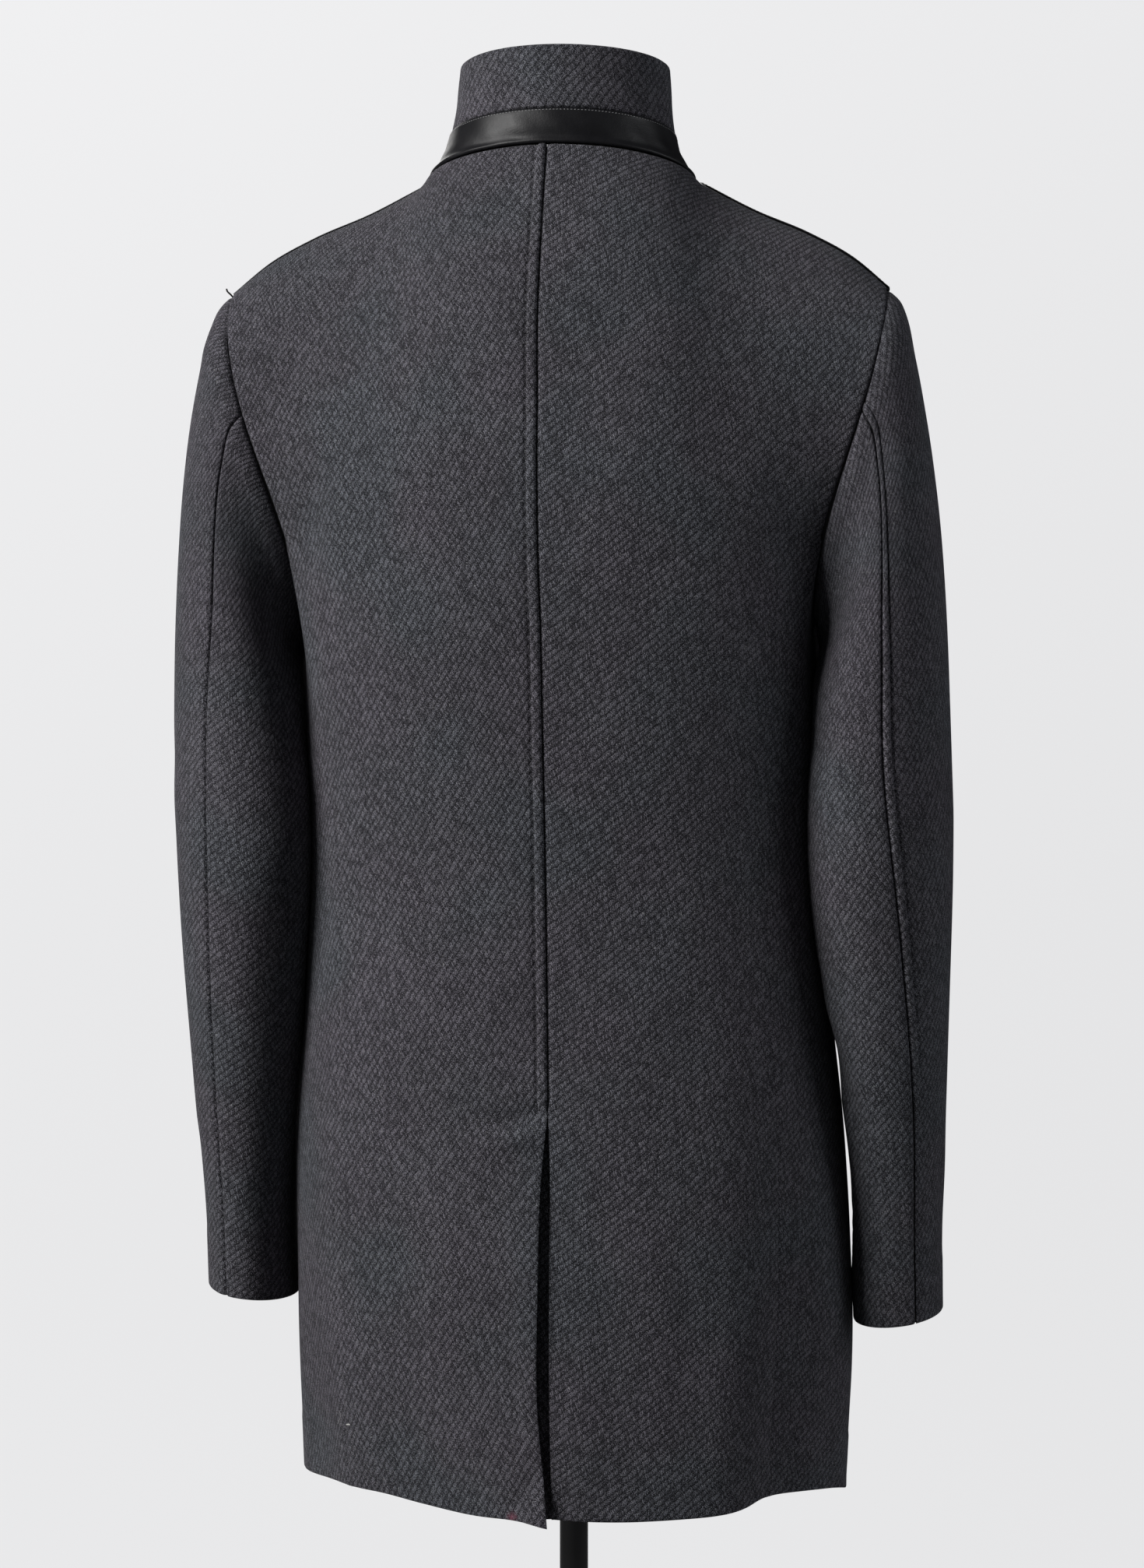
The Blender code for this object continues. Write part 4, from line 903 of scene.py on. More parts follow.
def build_twill(tree, given, results):
    """Diagonal ribs, each broken into short beads of yarn, from the weave's own place on the cloth."""
    place = tree.on_weave()
    wander = tree.noise(place, 130.0, 1.5, output="Color")
    centred = tree.vector_math("SUBTRACT", wander, (0.5, 0.5, 0.5))["Vector"]
    scaled = tree.vector_math("SCALE", centred, Scale=given["Unevenness"])["Vector"]
    split = tree.split(tree.vector_math("ADD", place, scaled)["Vector"])
    rib = tree.math("DIVIDE", split["X"], given["Rib Spacing"])
    rib_number = tree.math("FLOOR", rib)
    stagger = tree.add("ShaderNodeTexWhiteNoise", {"W": rib_number}, noise_dimensions="1D").outputs["Value"]
    leant = tree.math("MULTIPLY_ADD", split["X"], BEAD_LEAN, split["Y"])
    bead = tree.math("ADD", tree.math("DIVIDE", leant, given["Bead Length"]), stagger)
    cell = tree.add("ShaderNodeCombineXYZ", {"X": rib_number, "Y": tree.math("FLOOR", bead)}).outputs[0]
    shade = tree.add("ShaderNodeTexWhiteNoise", {"Vector": cell}, noise_dimensions="3D").outputs["Value"]
    bead_height = tree.math("MULTIPLY_ADD", tree.ridges(bead, BEAD_ROUNDNESS), 0.6, 0.4)
    full = tree.math("MULTIPLY", tree.ridges(rib, RIB_ROUNDNESS), bead_height)
    height = tree.math("MULTIPLY", full, tree.math("MULTIPLY_ADD", shade, 0.50, 0.50))
    fibres = tree.noise(place, 1500.0, 1.5, 0.75)
    tree.put(tree.math("MULTIPLY_ADD", fibres, 0.35, height), results["Height"])
    tree.put(shade, results["Bead Shade"])
    tree.put(fibres, results["Fibres"])


def build_patches(tree, given, results):
    """Slow changes over the cloth: its lightness and its tint."""
    place = tree.on_object()
    tree.put(tree.noise(place, given["Scale"], 1.0), results["Lightness"])
    shifted = tree.add("ShaderNodeMapping", {"Vector": place, "Location": (3.1, 1.7, 5.3)}).outputs[0]
    tree.put(tree.noise(shifted, given["Scale"], 1.0), results["Warmth"])


def build_grain(tree, given, results):
    """Fine pores and soft wrinkles of smooth leather."""
    place = tree.on_object()
    pores = tree.add("ShaderNodeTexVoronoi", {"Vector": place, "Scale": given["Pores"]}).outputs["Distance"]
    wrinkles = tree.noise(place, 160.0, 4.0, 0.6)
    tree.put(tree.math("MULTIPLY_ADD", wrinkles, 1.2, tree.math("MULTIPLY", pores, 0.35)), results["Height"])
    tree.put(tree.noise(place, 55.0, 5.0, 0.7), results["Scuffs"])


# each shared effect's inputs with their defaults, its outputs and what builds it
EFFECTS = {
    "diagonal_twill": ({"Rib Spacing": 0.0037, "Bead Length": 0.0013, "Unevenness": 0.0020},
                       ("Height", "Bead Shade", "Fibres"), build_twill),
    "slow_patches": ({"Scale": 14.0}, ("Lightness", "Warmth"), build_patches),
    "leather_grain": ({"Pores": 900.0}, ("Height", "Scuffs"), build_grain),
}


def effect_group(name):
    """The node group of a shared effect, built at its first use."""
    group = bpy.data.node_groups.get(name)
    if group is None:
        inputs, outputs, build = EFFECTS[name]
        group = bpy.data.node_groups.new(name, "ShaderNodeTree")
        for title, value in inputs.items():
            socket = group.interface.new_socket(title, in_out="INPUT", socket_type="NodeSocketFloat")
            socket.default_value = value
        for title in outputs:
            group.interface.new_socket(title, in_out="OUTPUT", socket_type="NodeSocketFloat")
        tree = Tree(group)
        build(tree, tree.add("NodeGroupInput").outputs, tree.add("NodeGroupOutput").inputs)
    return group


def material_of(name, build, *values, **sockets):
    """The material of that name, made at its first use: build returns what its sockets are fed."""
    made = bpy.data.materials.get(name)
    if made is None:
        made = bpy.data.materials.new(name)
        made.use_nodes = True
        shader, tree = made.node_tree.nodes["Principled BSDF"], Tree(made.node_tree)
        for socket, value in {**sockets, **build(tree, *values)}.items():
            tree.put(value, shader.inputs[socket.replace("_", " ").title().replace("Ior", "IOR")])
    return made


def wool_look(tree):
    look = bpy.context.scene.coat_cloth
    twill = tree.effect("diagonal_twill", {"Rib Spacing": look.rib_spacing, "Bead Length": look.bead_length})
    light = tree.math("ADD", tree.math("MULTIPLY", twill["Height"], RIB_PAINTED_LIGHT),
                      tree.math("MULTIPLY", twill["Bead Shade"], BEAD_LIGHT))
    light = tree.math("ADD", light, tree.math("MULTIPLY_ADD", twill["Fibres"], FIBRE_LIGHT, LIGHT_START))
    # painted shade and highlight at the weave's scale: the grooves between the ribs take the darker colour and the
    # rib tops the lighter, mixed with the beads' random tone and the fibres
    colour = tree.ramp(light, (0.10, colour4(look.dark_yarn)), (0.50, colour4(look.yarn)),
                       (0.95, colour4(look.light_yarn)))
    place = tree.on_object()
    fleck = tree.math("MULTIPLY_ADD", tree.noise(place, FLECK_SCALE, 1.0, 0.6), FLECK_SHARPNESS, FLECK_START,
                      clamp=True)
    colour = tree.mix(tree.math("MULTIPLY", fleck, FLECK_STRENGTH), colour, colour4(look.fleck))
    patches = tree.effect("slow_patches")
    tint = tree.ramp(patches["Warmth"], (0.34, (0.92, 1.04, 1.03, 1)), (0.5, (1, 1, 1, 1)),
                     (0.66, (1.05, 0.98, 1.02, 1)))
    colour = tree.mix(0.5, colour, tint, "MULTIPLY")
    lightness = tree.ramp(patches["Lightness"], (0.3, (0.94, 0.94, 0.94, 1)), (0.7, (1.06, 1.06, 1.06, 1)))
    colour = tree.mix(1.0, colour, lightness, "MULTIPLY")
    away = tree.math("SUBTRACT", tree.vector_math("DISTANCE", place, SMUDGE_PLACE)["Value"], 0.003)
    ragged = tree.math("MULTIPLY_ADD", tree.noise(place, 320.0), 0.006, away)
    smudge = tree.math("SUBTRACT", 1.0, tree.math("DIVIDE", ragged, SMUDGE_RADIUS), clamp=True)
    return {"base_color": tree.mix(tree.math("MULTIPLY", smudge, 0.75), colour, SMUDGE_COLOUR),
            "normal": tree.bump(twill["Height"], 0.8, 0.0006)}


def wool_material():
    return material_of("charcoal_wool", wool_look, roughness=0.92, sheen_weight=0.05, sheen_roughness=0.5,
                  specular_ior_level=0.15)


def lining_look(tree):
    patches = tree.effect("slow_patches")
    return {"base_color": tree.tones(patches["Lightness"], bpy.context.scene.coat_cloth.lining, 0.7, 1.3),
            "normal": tree.bump(tree.wave(tree.split(tree.on_weave())["X"], LINING_RIB), 0.25, 0.0001)}


def lining_material():
    return material_of("satin_lining", lining_look, roughness=0.38)


def leather_look(tree):
    look, grain = bpy.context.scene.coat_trim, tree.effect("leather_grain")
    return {"base_color": tree.tones(grain["Scuffs"], look.leather, 0.7, 1.6),
            "roughness": tree.math("MULTIPLY_ADD", grain["Scuffs"], 0.22, look.leather_roughness - 0.1),
            "normal": tree.bump(grain["Height"], 0.35, 0.0003)}


def leather_material():
    return material_of("black_leather", leather_look, specular_ior_level=0.34)


def thread_look(tree, colour):
    twist = tree.noise(tree.on_object(), 2600.0, 2.0)
    return {"base_color": tree.tones(twist, colour, 0.6, 1.4), "normal": tree.bump(twist, 0.4, 0.0002)}


def thread_material(name, colour):
    return material_of(name, thread_look, colour, roughness=0.6, sheen_weight=0.2)


def horn_look(tree):
    look = bpy.context.scene.coat_trim
    stretched = tree.add("ShaderNodeMapping", {"Vector": tree.on_object(), "Scale": (1.0, 1.0, 0.3)}).outputs[0]
    streaks = tree.noise(stretched, 240.0, 5.0, 0.6)
    return {"base_color": tree.ramp(streaks, (0.35, colour4(look.button, 0.5)), (0.55, colour4(look.button)),
                                    (0.75, colour4(look.button, 3.0))),
            "roughness": tree.math("MULTIPLY_ADD", streaks, 0.25, 0.18)}


def horn_material():
    return material_of("dark_horn", horn_look, coat_weight=0.3, coat_roughness=0.15)


def cover_look(tree):
    split = tree.split(tree.on_weave())
    woven = tree.math("MULTIPLY", tree.wave(split["X"], COVER_YARN), tree.wave(split["Y"], COVER_YARN))
    slubs = tree.noise(tree.on_object(), 110.0, 4.0, 0.6)
    return {"base_color": tree.tones(tree.math("MULTIPLY_ADD", woven, 0.25, slubs, clamp=True),
                                     bpy.context.scene.coat_stand.cover, 0.8, 1.12),
            "normal": tree.bump(woven, 0.35, 0.0002)}


def cover_material():
    return material_of("form_cover", cover_look, roughness=0.9, sheen_weight=0.1)


def metal_look(tree):
    place = tree.on_object()
    wear = tree.noise(place, 38.0, 6.0, 0.7)
    return {"base_color": tree.tones(wear, bpy.context.scene.coat_stand.metal, 0.7, 1.7),
            "roughness": tree.math("MULTIPLY_ADD", wear, 0.25, 0.2),
            "normal": tree.bump(tree.noise(place, 700.0, 2.0), 0.08, 0.0002)}


def metal_material():
    return material_of("black_metal", metal_look, metallic=0.35, coat_weight=0.4, coat_roughness=0.12)


# ---------------------------------------------------------------- shapes that are not cloth
def spun(profile, steps):
    """A profile of (radius, height) turned round the upright axis."""
    bm = bmesh.new()
    verts = [bm.verts.new((radius, 0, height)) for radius, height in profile]
    edges = [bm.edges.new(pair) for pair in zip(verts, verts[1:])]
    bmesh.ops.spin(bm, geom=verts + edges, cent=(0, 0, 0), axis=(0, 0, 1), angle=2 * pi,
                   steps=steps, use_merge=True)
    bmesh.ops.remove_doubles(bm, verts=bm.verts[:], dist=MERGE)
    bmesh.ops.recalc_face_normals(bm, faces=bm.faces[:])
    return bm


def turned(name, profile, material, steps, place=Matrix()):
    """A turned piece, the first and last points of its profile on the axis."""
    bm = spun(profile, steps)
    if bm.calc_volume(signed=True) < 0:
        bmesh.ops.reverse_faces(bm, faces=bm.faces[:])
    bmesh.ops.transform(bm, matrix=place, verts=bm.verts[:])
    mesh = mesh_of(name, bm, material)
    obj = shown(name, mesh)
    mesh.set_sharp_from_angle(angle=SHARP)
    return obj


def rounded(profile, radius, steps=4):
    """The profile with its corners rounded."""
    points = [Vector(point) for point in profile]
    done = [points[0]]
    for before, corner, after in zip(points, points[1:], points[2:]):
        reach = min(radius, (corner - before).length / 2, (after - corner).length / 2)
        start = corner + (before - corner).normalized() * reach
        end = corner + (after - corner).normalized() * reach
        for step in range(steps + 1):
            share = step / steps
            done.append(start * (1 - share) ** 2 + corner * 2 * share * (1 - share) + end * share ** 2)
    return [tuple(point) for point in done + [points[-1]]]


def facing(direction, along):
    """A turn that takes Z to the direction and X as near to along as can be."""
    z = Vector(direction).normalized()
    x = Vector(along) - Vector(along).project(z)
    x.normalize()
    return Matrix((x, z.cross(x), z)).transposed().to_4x4()


def spaced_along(points, normals, pitch):
    """Places along a line at an even pitch: point, direction and normal of each."""
    steps = np.linalg.norm(np.diff(points, axis=0), axis=1)
    along = np.concatenate(((0,), np.cumsum(steps)))
    wanted = np.arange(pitch / 2, along[-1], pitch)
    both = np.concatenate((points, normals), axis=1)
    at = np.stack([np.interp(wanted, along, column) for column in both.T], -1)
    ahead = np.stack([np.interp(wanted + pitch / 4, along, column) for column in points.T], -1)
    behind = np.stack([np.interp(wanted - pitch / 4, along, column) for column in points.T], -1)
    return at[:, :3], ahead - behind, at[:, 3:]


def unit(vectors):
    return vectors / np.linalg.norm(vectors, axis=-1, keepdims=True)


def bead_places(points, directions, normals, size):
    """Matrices that lay a bead along each direction, flat on each normal."""
    z = unit(normals)
    x = unit(directions - (directions * z).sum(-1, keepdims=True) * z)
    matrices = np.zeros((len(points), 4, 4))
    for column, (axis, half) in enumerate(zip((x, np.cross(z, x), z), size)):
        matrices[:, :3, column] = axis * half
    matrices[:, :3, 3], matrices[:, 3, 3] = points, 1
    return matrices


def beads(name, matrices, material):
    """One small round bead for each matrix, in one mesh."""
    bm = bmesh.new()
    bmesh.ops.create_uvsphere(bm, u_segments=6, v_segments=4, radius=1)
    one = bpy.data.meshes.new(name + "_one")
    bm.to_mesh(one)
    for _ in range(len(matrices) - 1):
        bm.from_mesh(one)
    mesh = mesh_of(name, bm, material)
    places = np.empty(len(one.vertices) * 3)
    one.vertices.foreach_get("co", places)
    bpy.data.meshes.remove(one)
    places = np.pad(places.reshape(-1, 3), ((0, 0), (0, 1)), constant_values=1)
    mesh.vertices.foreach_set("co", np.einsum("nij,vj->nvi", matrices, places)[..., :3].ravel())
    mesh.update()
    return shown(name, mesh)


def stitches(name, lines, length, pitch, radius, material, sunk=0.0001):
    """A row of short stitches along each line of points and normals."""
    matrices = []
    for line in lines:
        points, directions, normals = spaced_along(*line, pitch)
        matrices.append(bead_places(points - normals * sunk, directions, normals,
                                    (length / 2, radius, radius * 0.8)))
    return beads(name, np.concatenate(matrices), material)


def wool_stitches(name, lines, radius=0.00028):
    """Rows of stitches on the wool, in the settings' thread and at their pitch."""
    trim = bpy.context.scene.coat_trim
    thread = thread_material("wool_thread", trim.thread)
    worn(stitches(name, lines, 0.0026, trim.stitch_length, radius, thread), "wool")


def shade_tape(name, points, inwards, material):
    """A flat dark strip along a line, a little inside the cloth, behind a seam: painted shade that stops light
    showing through the seam's gap.
    """
    around = 8
    inwards = unit(inwards)
    across = unit(np.cross(np.gradient(points, axis=0), inwards))
    turn = np.linspace(0, 2 * pi, around + 1)[:, None, None]
    places = (points + inwards * SHADE_TAPE_DEPTH + across * np.cos(turn) * SHADE_TAPE_WIDTH / 2
              + inwards * np.sin(turn) * SHADE_TAPE_THICKNESS / 2)
    bm = bmesh.new()
    bmesh.ops.create_grid(bm, x_segments=len(points) - 1, y_segments=around, size=1)
    for vert in bm.verts:
        vert.co = places[grid_place(vert, around, len(points) - 1)]
    bmesh.ops.remove_doubles(bm, verts=bm.verts[:], dist=MERGE)
    bmesh.ops.holes_fill(bm, edges=[edge for edge in bm.edges if edge.is_boundary], sides=0)
    bmesh.ops.recalc_face_normals(bm, faces=bm.faces[:])
    if bm.calc_volume(signed=True) < 0:
        bmesh.ops.reverse_faces(bm, faces=bm.faces[:])
    worn(shown(name, mesh_of(name, bm, material)), "wool")


def thread_curve(name, points, radius, material):
    """A loose thread along points, as a mesh tube."""
    curve = bpy.data.curves.new(name, "CURVE")
    curve.dimensions = "3D"
    curve.bevel_depth, curve.bevel_resolution, curve.resolution_u = radius, 2, 8
    curve.use_fill_caps = True
    spline = curve.splines.new("NURBS")
    spline.points.add(len(points) - 1)
    for point, place in zip(spline.points, points):
        point.co = (*place, 1)
    spline.use_endpoint_u = True
    helper = bpy.data.objects.new(name + "_line", curve)
    bpy.context.scene.collection.objects.link(helper)
    mesh = bpy.data.meshes.new_from_object(helper.evaluated_get(bpy.context.evaluated_depsgraph_get()))
    bpy.data.objects.remove(helper)
    mesh.materials.clear()
    mesh.materials.append(material)
    mesh.name = name
    return shown(name, mesh)


# ---------------------------------------------------------------- the coat's sheets
def swung_starts(side, surface, levels):
    """The share at which each row of a back panel starts, where the centre seam swings aside."""
    dense = np.linspace(-0.1, 0.2, 61)
    line = surface(np.broadcast_to(dense, (len(levels), len(dense))), levels)
    centre = line[:, [int(np.argmin(np.abs(dense)))]]
    swing, = smooth_rows(CENTRE_SWING, centre[:, 0, 2])
    lateral = side * (line[..., 0] - centre[..., 0])
    return np.array([np.interp(side * aside, row, dense) for aside, row in zip(swing, lateral)])


@lru_cache
def back_sheet(side, welt_width):
    name, levels = f"back_{SIDES[side]}", body_levels()

    def surface(shares, levels):
        return back_surface(side, shares, levels)

    starts = swung_starts(side, surface, levels)
    shares = columns_at(surface, levels, (starts, 1), NEAR_WELT if side > 0 else NEAR_SEAM, NEAR_SEAM)
    sheet = Sheet(surface(shares, levels), BODY_AXIS, EVENING)
    sheet.crease(name)
    sheet.unevenness(1 if side > 0 else 2)
    above_vent = ease((sheet.height - VENT_TOP) / 0.008)
    below_vent = ease((VENT_TOP - sheet.height) / 0.06)
    sheet.stand += below_vent * (0.0022 * hump(sheet.first, 0.016) if side > 0 else
                                 -0.0018 * hump(sheet.first - 0.004, 0.012))
    if side > 0:
        sheet.welt(sheet.first, welt_width, above_vent)
        edge_lift = np.sin(pi * np.clip((VENT_TOP - sheet.height) / (VENT_TOP - HEM_HEIGHT), 0, 1))
        sheet.stand += 0.0022 * edge_lift * hump(sheet.first, 0.022)
        corner = np.sqrt(sheet.first ** 2 + (sheet.low * 0.8) ** 2)
        sheet.stand += 0.0062 * hump(corner, 0.017)
    else:
        dent = above_vent * (0.0011 * hump(sheet.first, 0.0012))
        sheet.stand -= dent - 0.0003 * hump(sheet.first - 0.0055, 0.0035)
    finish_edges(sheet, levels, side)
    sheet.stand += 0.0003 * hump(sheet.high - 0.007, 0.004)
    return name, sheet


def finish_edges(sheet, levels, side):
    """Side seam, armhole, neckline and hem of a body panel."""
    if side < 0:
        wave, = smooth_rows(SIDE_WAVE, sheet.height)
        sheet.stand += wave * ease((-sheet.points[..., 0] - 0.13) / 0.05)
    above = (levels > 1)[:, None]
    sheet.seam_roll(np.where(above, sheet.last, np.inf), 0.0013)
    below = np.where(above, np.inf, sheet.last)
    sheet.seam_roll(below, 0.00025, 0.0001)
    sheet.shut += hump(below, 0.003)
    sheet.stand -= 0.0009 * hump(sheet.high, 0.0014)
    past_facing = sheet.low - FACING_DEPTH
    sheet.stand += 0.0004 * (1 - ease(past_facing / 0.004)) - 0.0002 * hump(past_facing - 0.002, 0.0015)


@lru_cache
def front_sheet(side, welt_width):
    name, levels = f"front_{SIDES[side]}", body_levels()

    def front(shares, levels):
        return front_surface(side, shares, levels)

    def underarm(shares, levels):
        return underarm_surface(side, shares, levels)

    shares = columns_at(front, levels, (-1, 1), NEAR_WELT, NEAR_SEAM)
    under_shares = columns_at(underarm, np.minimum(levels, 1), (0, 1), np.array((0.0, 0.003)), NEAR_SEAM)
    under = underarm(under_shares, np.minimum(levels, 1))[:, 1:]
    under[levels > 1 + 1e-9] = np.nan
    points = np.concatenate((front(shares, levels), under), axis=1)
    sheet = Sheet(points, BODY_AXIS, EVENING)
    sheet.crease(name)
    sheet.unevenness(3 if side > 0 else 4)
    sheet.welt(sheet.first, welt_width)
    finish_edges(sheet, levels, side)
    return name, sheet


@lru_cache
def sleeve_sheet(side, part, welt_width):
    name = f"sleeve_{SIDES[side]}_{part}"
    first, last = SLEEVE_CUT_BACK, SLEEVE_CUT_FRONT - (ARMHOLE_STEPS if part == "top" else 0)
    middle = np.arange(NEAR_HEM[-1] + SPACING, SLEEVE_LENGTH - NEAR_SEAM[-1], SPACING)
    levels = np.concatenate((NEAR_HEM, middle, SLEEVE_LENGTH - NEAR_SEAM[::-1])) / SLEEVE_LENGTH

    def surface(shares, levels):
        return sleeve_surface(side, first, last, shares, levels)

    shares = columns_at(surface, levels, (0, 1), NEAR_WELT if part == "top" else NEAR_SEAM, NEAR_SEAM)
    around = np.broadcast_to(np.linspace(0, 1, ARMHOLE_STEPS + 1)[:-1], (len(levels), ARMHOLE_STEPS))
    ring = sleeve_surface(side, 0, ARMHOLE_STEPS, around, levels)
    sheet = Sheet(surface(shares, levels), ring.mean(axis=1, keepdims=True))
    sheet.crease(name)
    sheet.unevenness(5 + side + (part == "top"), 0.0004)
    if part == "top" and side < 0:
        sheet.welt(sheet.first, welt_width, ease((sheet.height - 0.84) / 0.14))
    else:
        sheet.seam_roll(sheet.first, 0.0012)
    sheet.seam_roll(sheet.last, 0.0010)
    sheet.stand += 0.0012 * hump(sheet.high - 0.010, 0.007) - 0.0014 * hump(sheet.high, 0.0018)
    sheet.stand += 0.0003 * (1 - ease((sheet.low - FACING_DEPTH) / 0.004))
    return name, sheet


def collar_sheet(band):
    first, last = (0.0, BAND_TOP) if band else (BAND_TOP, 1.0)
    long = 0.024 if band else 0.042
    near = np.array((0, 0.0004, 0.0009, 0.0016, 0.0026))
    levels = np.concatenate((near, np.arange(0.004, long - 0.003, 0.0014), long - near[::-1])) / long

    def surface(shares, levels):
        return collar_surface(first, last, shares, levels)

    shares = columns_at(surface, levels, (-1, 1), NEAR_SEAM[:7], NEAR_SEAM[:7], 0.0030)
    return Sheet(surface(shares, levels), (0, NECK_CENTRE, 0))


# ---------------------------------------------------------------- settings
class CoatCloth(bpy.types.PropertyGroup):
    """Sizes and colours of the wool and its lining."""

    rib_spacing: bpy.props.FloatProperty(
        name="Rib Spacing", description="Distance between the diagonal ribs of the weave",
        default=0.0037, min=0.001, max=0.02, precision=4, unit="LENGTH")
    bead_length: bpy.props.FloatProperty(
        name="Bead Length", description="Length of one bead of yarn along a rib",
        default=0.0013, min=0.0003, max=0.01, precision=5, unit="LENGTH")
    welt_width: bpy.props.FloatProperty(
        name="Welt Width", description="Distance from a seam to the stitches beside it",
        default=0.0065, min=0.002, max=0.02, precision=4, unit="LENGTH")
    # the darkest colour: painted shade in the grooves between the ribs, and wherever the fibres run dark
    dark_yarn: bpy.props.FloatVectorProperty(
        name="Dark Yarn", description="Colour between the ribs", subtype="COLOR",
        default=(0.0085, 0.0082, 0.0105), min=0, max=1)
    yarn: bpy.props.FloatVectorProperty(
        name="Yarn", description="Main colour of the wool", subtype="COLOR",
        default=(0.0500, 0.0490, 0.0570), min=0, max=1)
    # the lightest colour: a painted highlight on the rib tops, and wherever the fibres run light
    light_yarn: bpy.props.FloatVectorProperty(
        name="Light Yarn", description="Colour on top of the ribs", subtype="COLOR",
        default=(0.215, 0.211, 0.243), min=0, max=1)
    fleck: bpy.props.FloatVectorProperty(
        name="Fleck", description="Colour of the pale fibres", subtype="COLOR",
        default=(0.34, 0.34, 0.35), min=0, max=1)
    lining: bpy.props.FloatVectorProperty(
        name="Lining", description="Colour of the satin inside", subtype="COLOR",
        default=(0.020, 0.020, 0.024), min=0, max=1)


class CoatTrim(bpy.types.PropertyGroup):
    """Sizes and colours of the leather, the buttons and the thread."""

    leather: bpy.props.FloatVectorProperty(
        name="Leather", description="Colour of the band and the shoulder strips", subtype="COLOR",
        default=(0.007, 0.007, 0.0085), min=0, max=1)
    leather_roughness: bpy.props.FloatProperty(
        name="Leather Roughness", description="How dull the leather is",
        default=0.44, min=0, max=1, subtype="FACTOR")
    button: bpy.props.FloatVectorProperty(
        name="Button", description="Colour of the horn buttons", subtype="COLOR",
        default=(0.022, 0.019, 0.017), min=0, max=1)
    thread: bpy.props.FloatVectorProperty(
        name="Thread", description="Colour of the thread on the wool", subtype="COLOR",
        default=(0.012, 0.012, 0.014), min=0, max=1)
    band_thread: bpy.props.FloatVectorProperty(
        name="Band Thread", description="Colour of the fine stitches over the band", subtype="COLOR",
        default=(0.30, 0.30, 0.31), min=0, max=1)
    stitch_length: bpy.props.FloatProperty(
        name="Stitch Length", description="Length of one stitch with the gap after it",
        default=0.0036, min=0.001, max=0.01, precision=4, unit="LENGTH")


class CoatStand(bpy.types.PropertyGroup):
    """Colours of the dress form and its stand."""

    cover: bpy.props.FloatVectorProperty(
        name="Cover", description="Colour of the form's fabric", subtype="COLOR",
        default=(0.55, 0.53, 0.49), min=0, max=1)
    metal: bpy.props.FloatVectorProperty(
        name="Metal", description="Colour of the pole and the base", subtype="COLOR",
        default=(0.012, 0.012, 0.013), min=0, max=1)


class CoatStudio(bpy.types.PropertyGroup):
    """The floor, the backdrop and the light."""

    backdrop: bpy.props.FloatVectorProperty(
        name="Backdrop", description="Colour of the floor and the backdrop", subtype="COLOR",
        default=(0.80, 0.80, 0.81), min=0, max=1)
    wall_left: bpy.props.FloatVectorProperty(
        name="Wall, Left", description="Brightness of the far wall at the picture's left", subtype="COLOR",
        default=(0.85, 0.85, 0.86), min=0, max=1)
    wall_right: bpy.props.FloatVectorProperty(
        name="Wall, Right", description="Brightness of the far wall at the picture's right", subtype="COLOR",
        default=(0.79, 0.79, 0.80), min=0, max=1)
    key_power: bpy.props.FloatProperty(
        name="Key Light", description="Power of the large soft light", default=134.0, min=0, unit="POWER")
    fill_power: bpy.props.FloatProperty(
        name="Fill Light", description="Power of the light from the other side", default=33.0, min=0, unit="POWER")
    front_power: bpy.props.FloatProperty(
        name="Front Light", description="Power of the light on the coat's front", default=60.0, min=0, unit="POWER")
    air: bpy.props.FloatProperty(
        name="Room Light", description="Strength of the light from all round", default=0.07, min=0, max=5)


# ---------------------------------------------------------------- the pieces
CUTS = {
    # flat width and length of each cut of cloth that shows
    "back": (0.235, 0.900), "front": (0.400, 0.900), "vent_underlap": (0.062, 0.275),
    "sleeve_top": (0.235, 0.690), "sleeve_under": (0.215, 0.690),
    "collar": (0.500, 0.045), "collar_band": (0.520, 0.030), "pocket_flap": (0.150, 0.068),
}


def cut(obj, sheet, *rests_on):
    """Looks up the flat size of the piece's cut and sets it against the sheet's area, keeping nothing; what it hangs
    on, rests_on, is not used.
    """
    kind = obj.name.removesuffix("_cloth").replace("_left", "").replace("_right", "")
    width, length = CUTS[kind]
    min(sheet.area(), width * length)


class COAT_OT_back(bpy.types.Operator):
    """Sews the two back panels, the centre seam's welt and the vent"""

    bl_idname = "coat.back"
    bl_label = "Back"

    def execute(self, context):
        wool, lining = wool_material(), lining_material()
        width = context.scene.coat_cloth.welt_width
        for side in SIDES:
            name, sheet = back_sheet(side, width)
            lined = (sheet.low > FACING_DEPTH) & ((sheet.height > VENT_TOP) | (sheet.first > VENT_FACING))
            obj = cloth(name, sheet, weave_of(sheet, name, -side), CLOTH, (wool, lining), lined)
            cut(worn(obj, "wool", name), sheet, "form_cover")
            if side > 0:
                points, normals = sheet.line("first", width)
                sewn = points[:, 2] > VENT_TOP
                wool_stitches("stitches_centre_back", [(points[sewn], normals[sewn])])
        self.underlap(wool, lining)
        return {"FINISHED"}

    def underlap(self, wool, lining):
        """The right back's turned edge, under the left one."""
        first, last, past = UNDERLAP
        height = np.concatenate((HEM_HEIGHT + NEAR_HEM, np.arange(HEM_HEIGHT + 0.012, VENT_TOP + past, SPACING)))
        angles = np.linspace(first, last, 26)
        points = body_point(angles[None, :], height[:, None])
        points = points - outwards(np.broadcast_to(angles, points.shape[:2])) * (CLOTH + UNDERLAP_RECESS)
        points[..., 2] += hem_lift(angles, height[:, None], -1) - 0.0006
        sheet = Sheet(hung(points, -1), BODY_AXIS)
        obj = cloth("vent_underlap", sheet, weave_of(sheet, "vent_underlap", 1), CLOTH * 0.8, (wool, lining))
        cut(worn(obj, "wool"), sheet, "back_right")


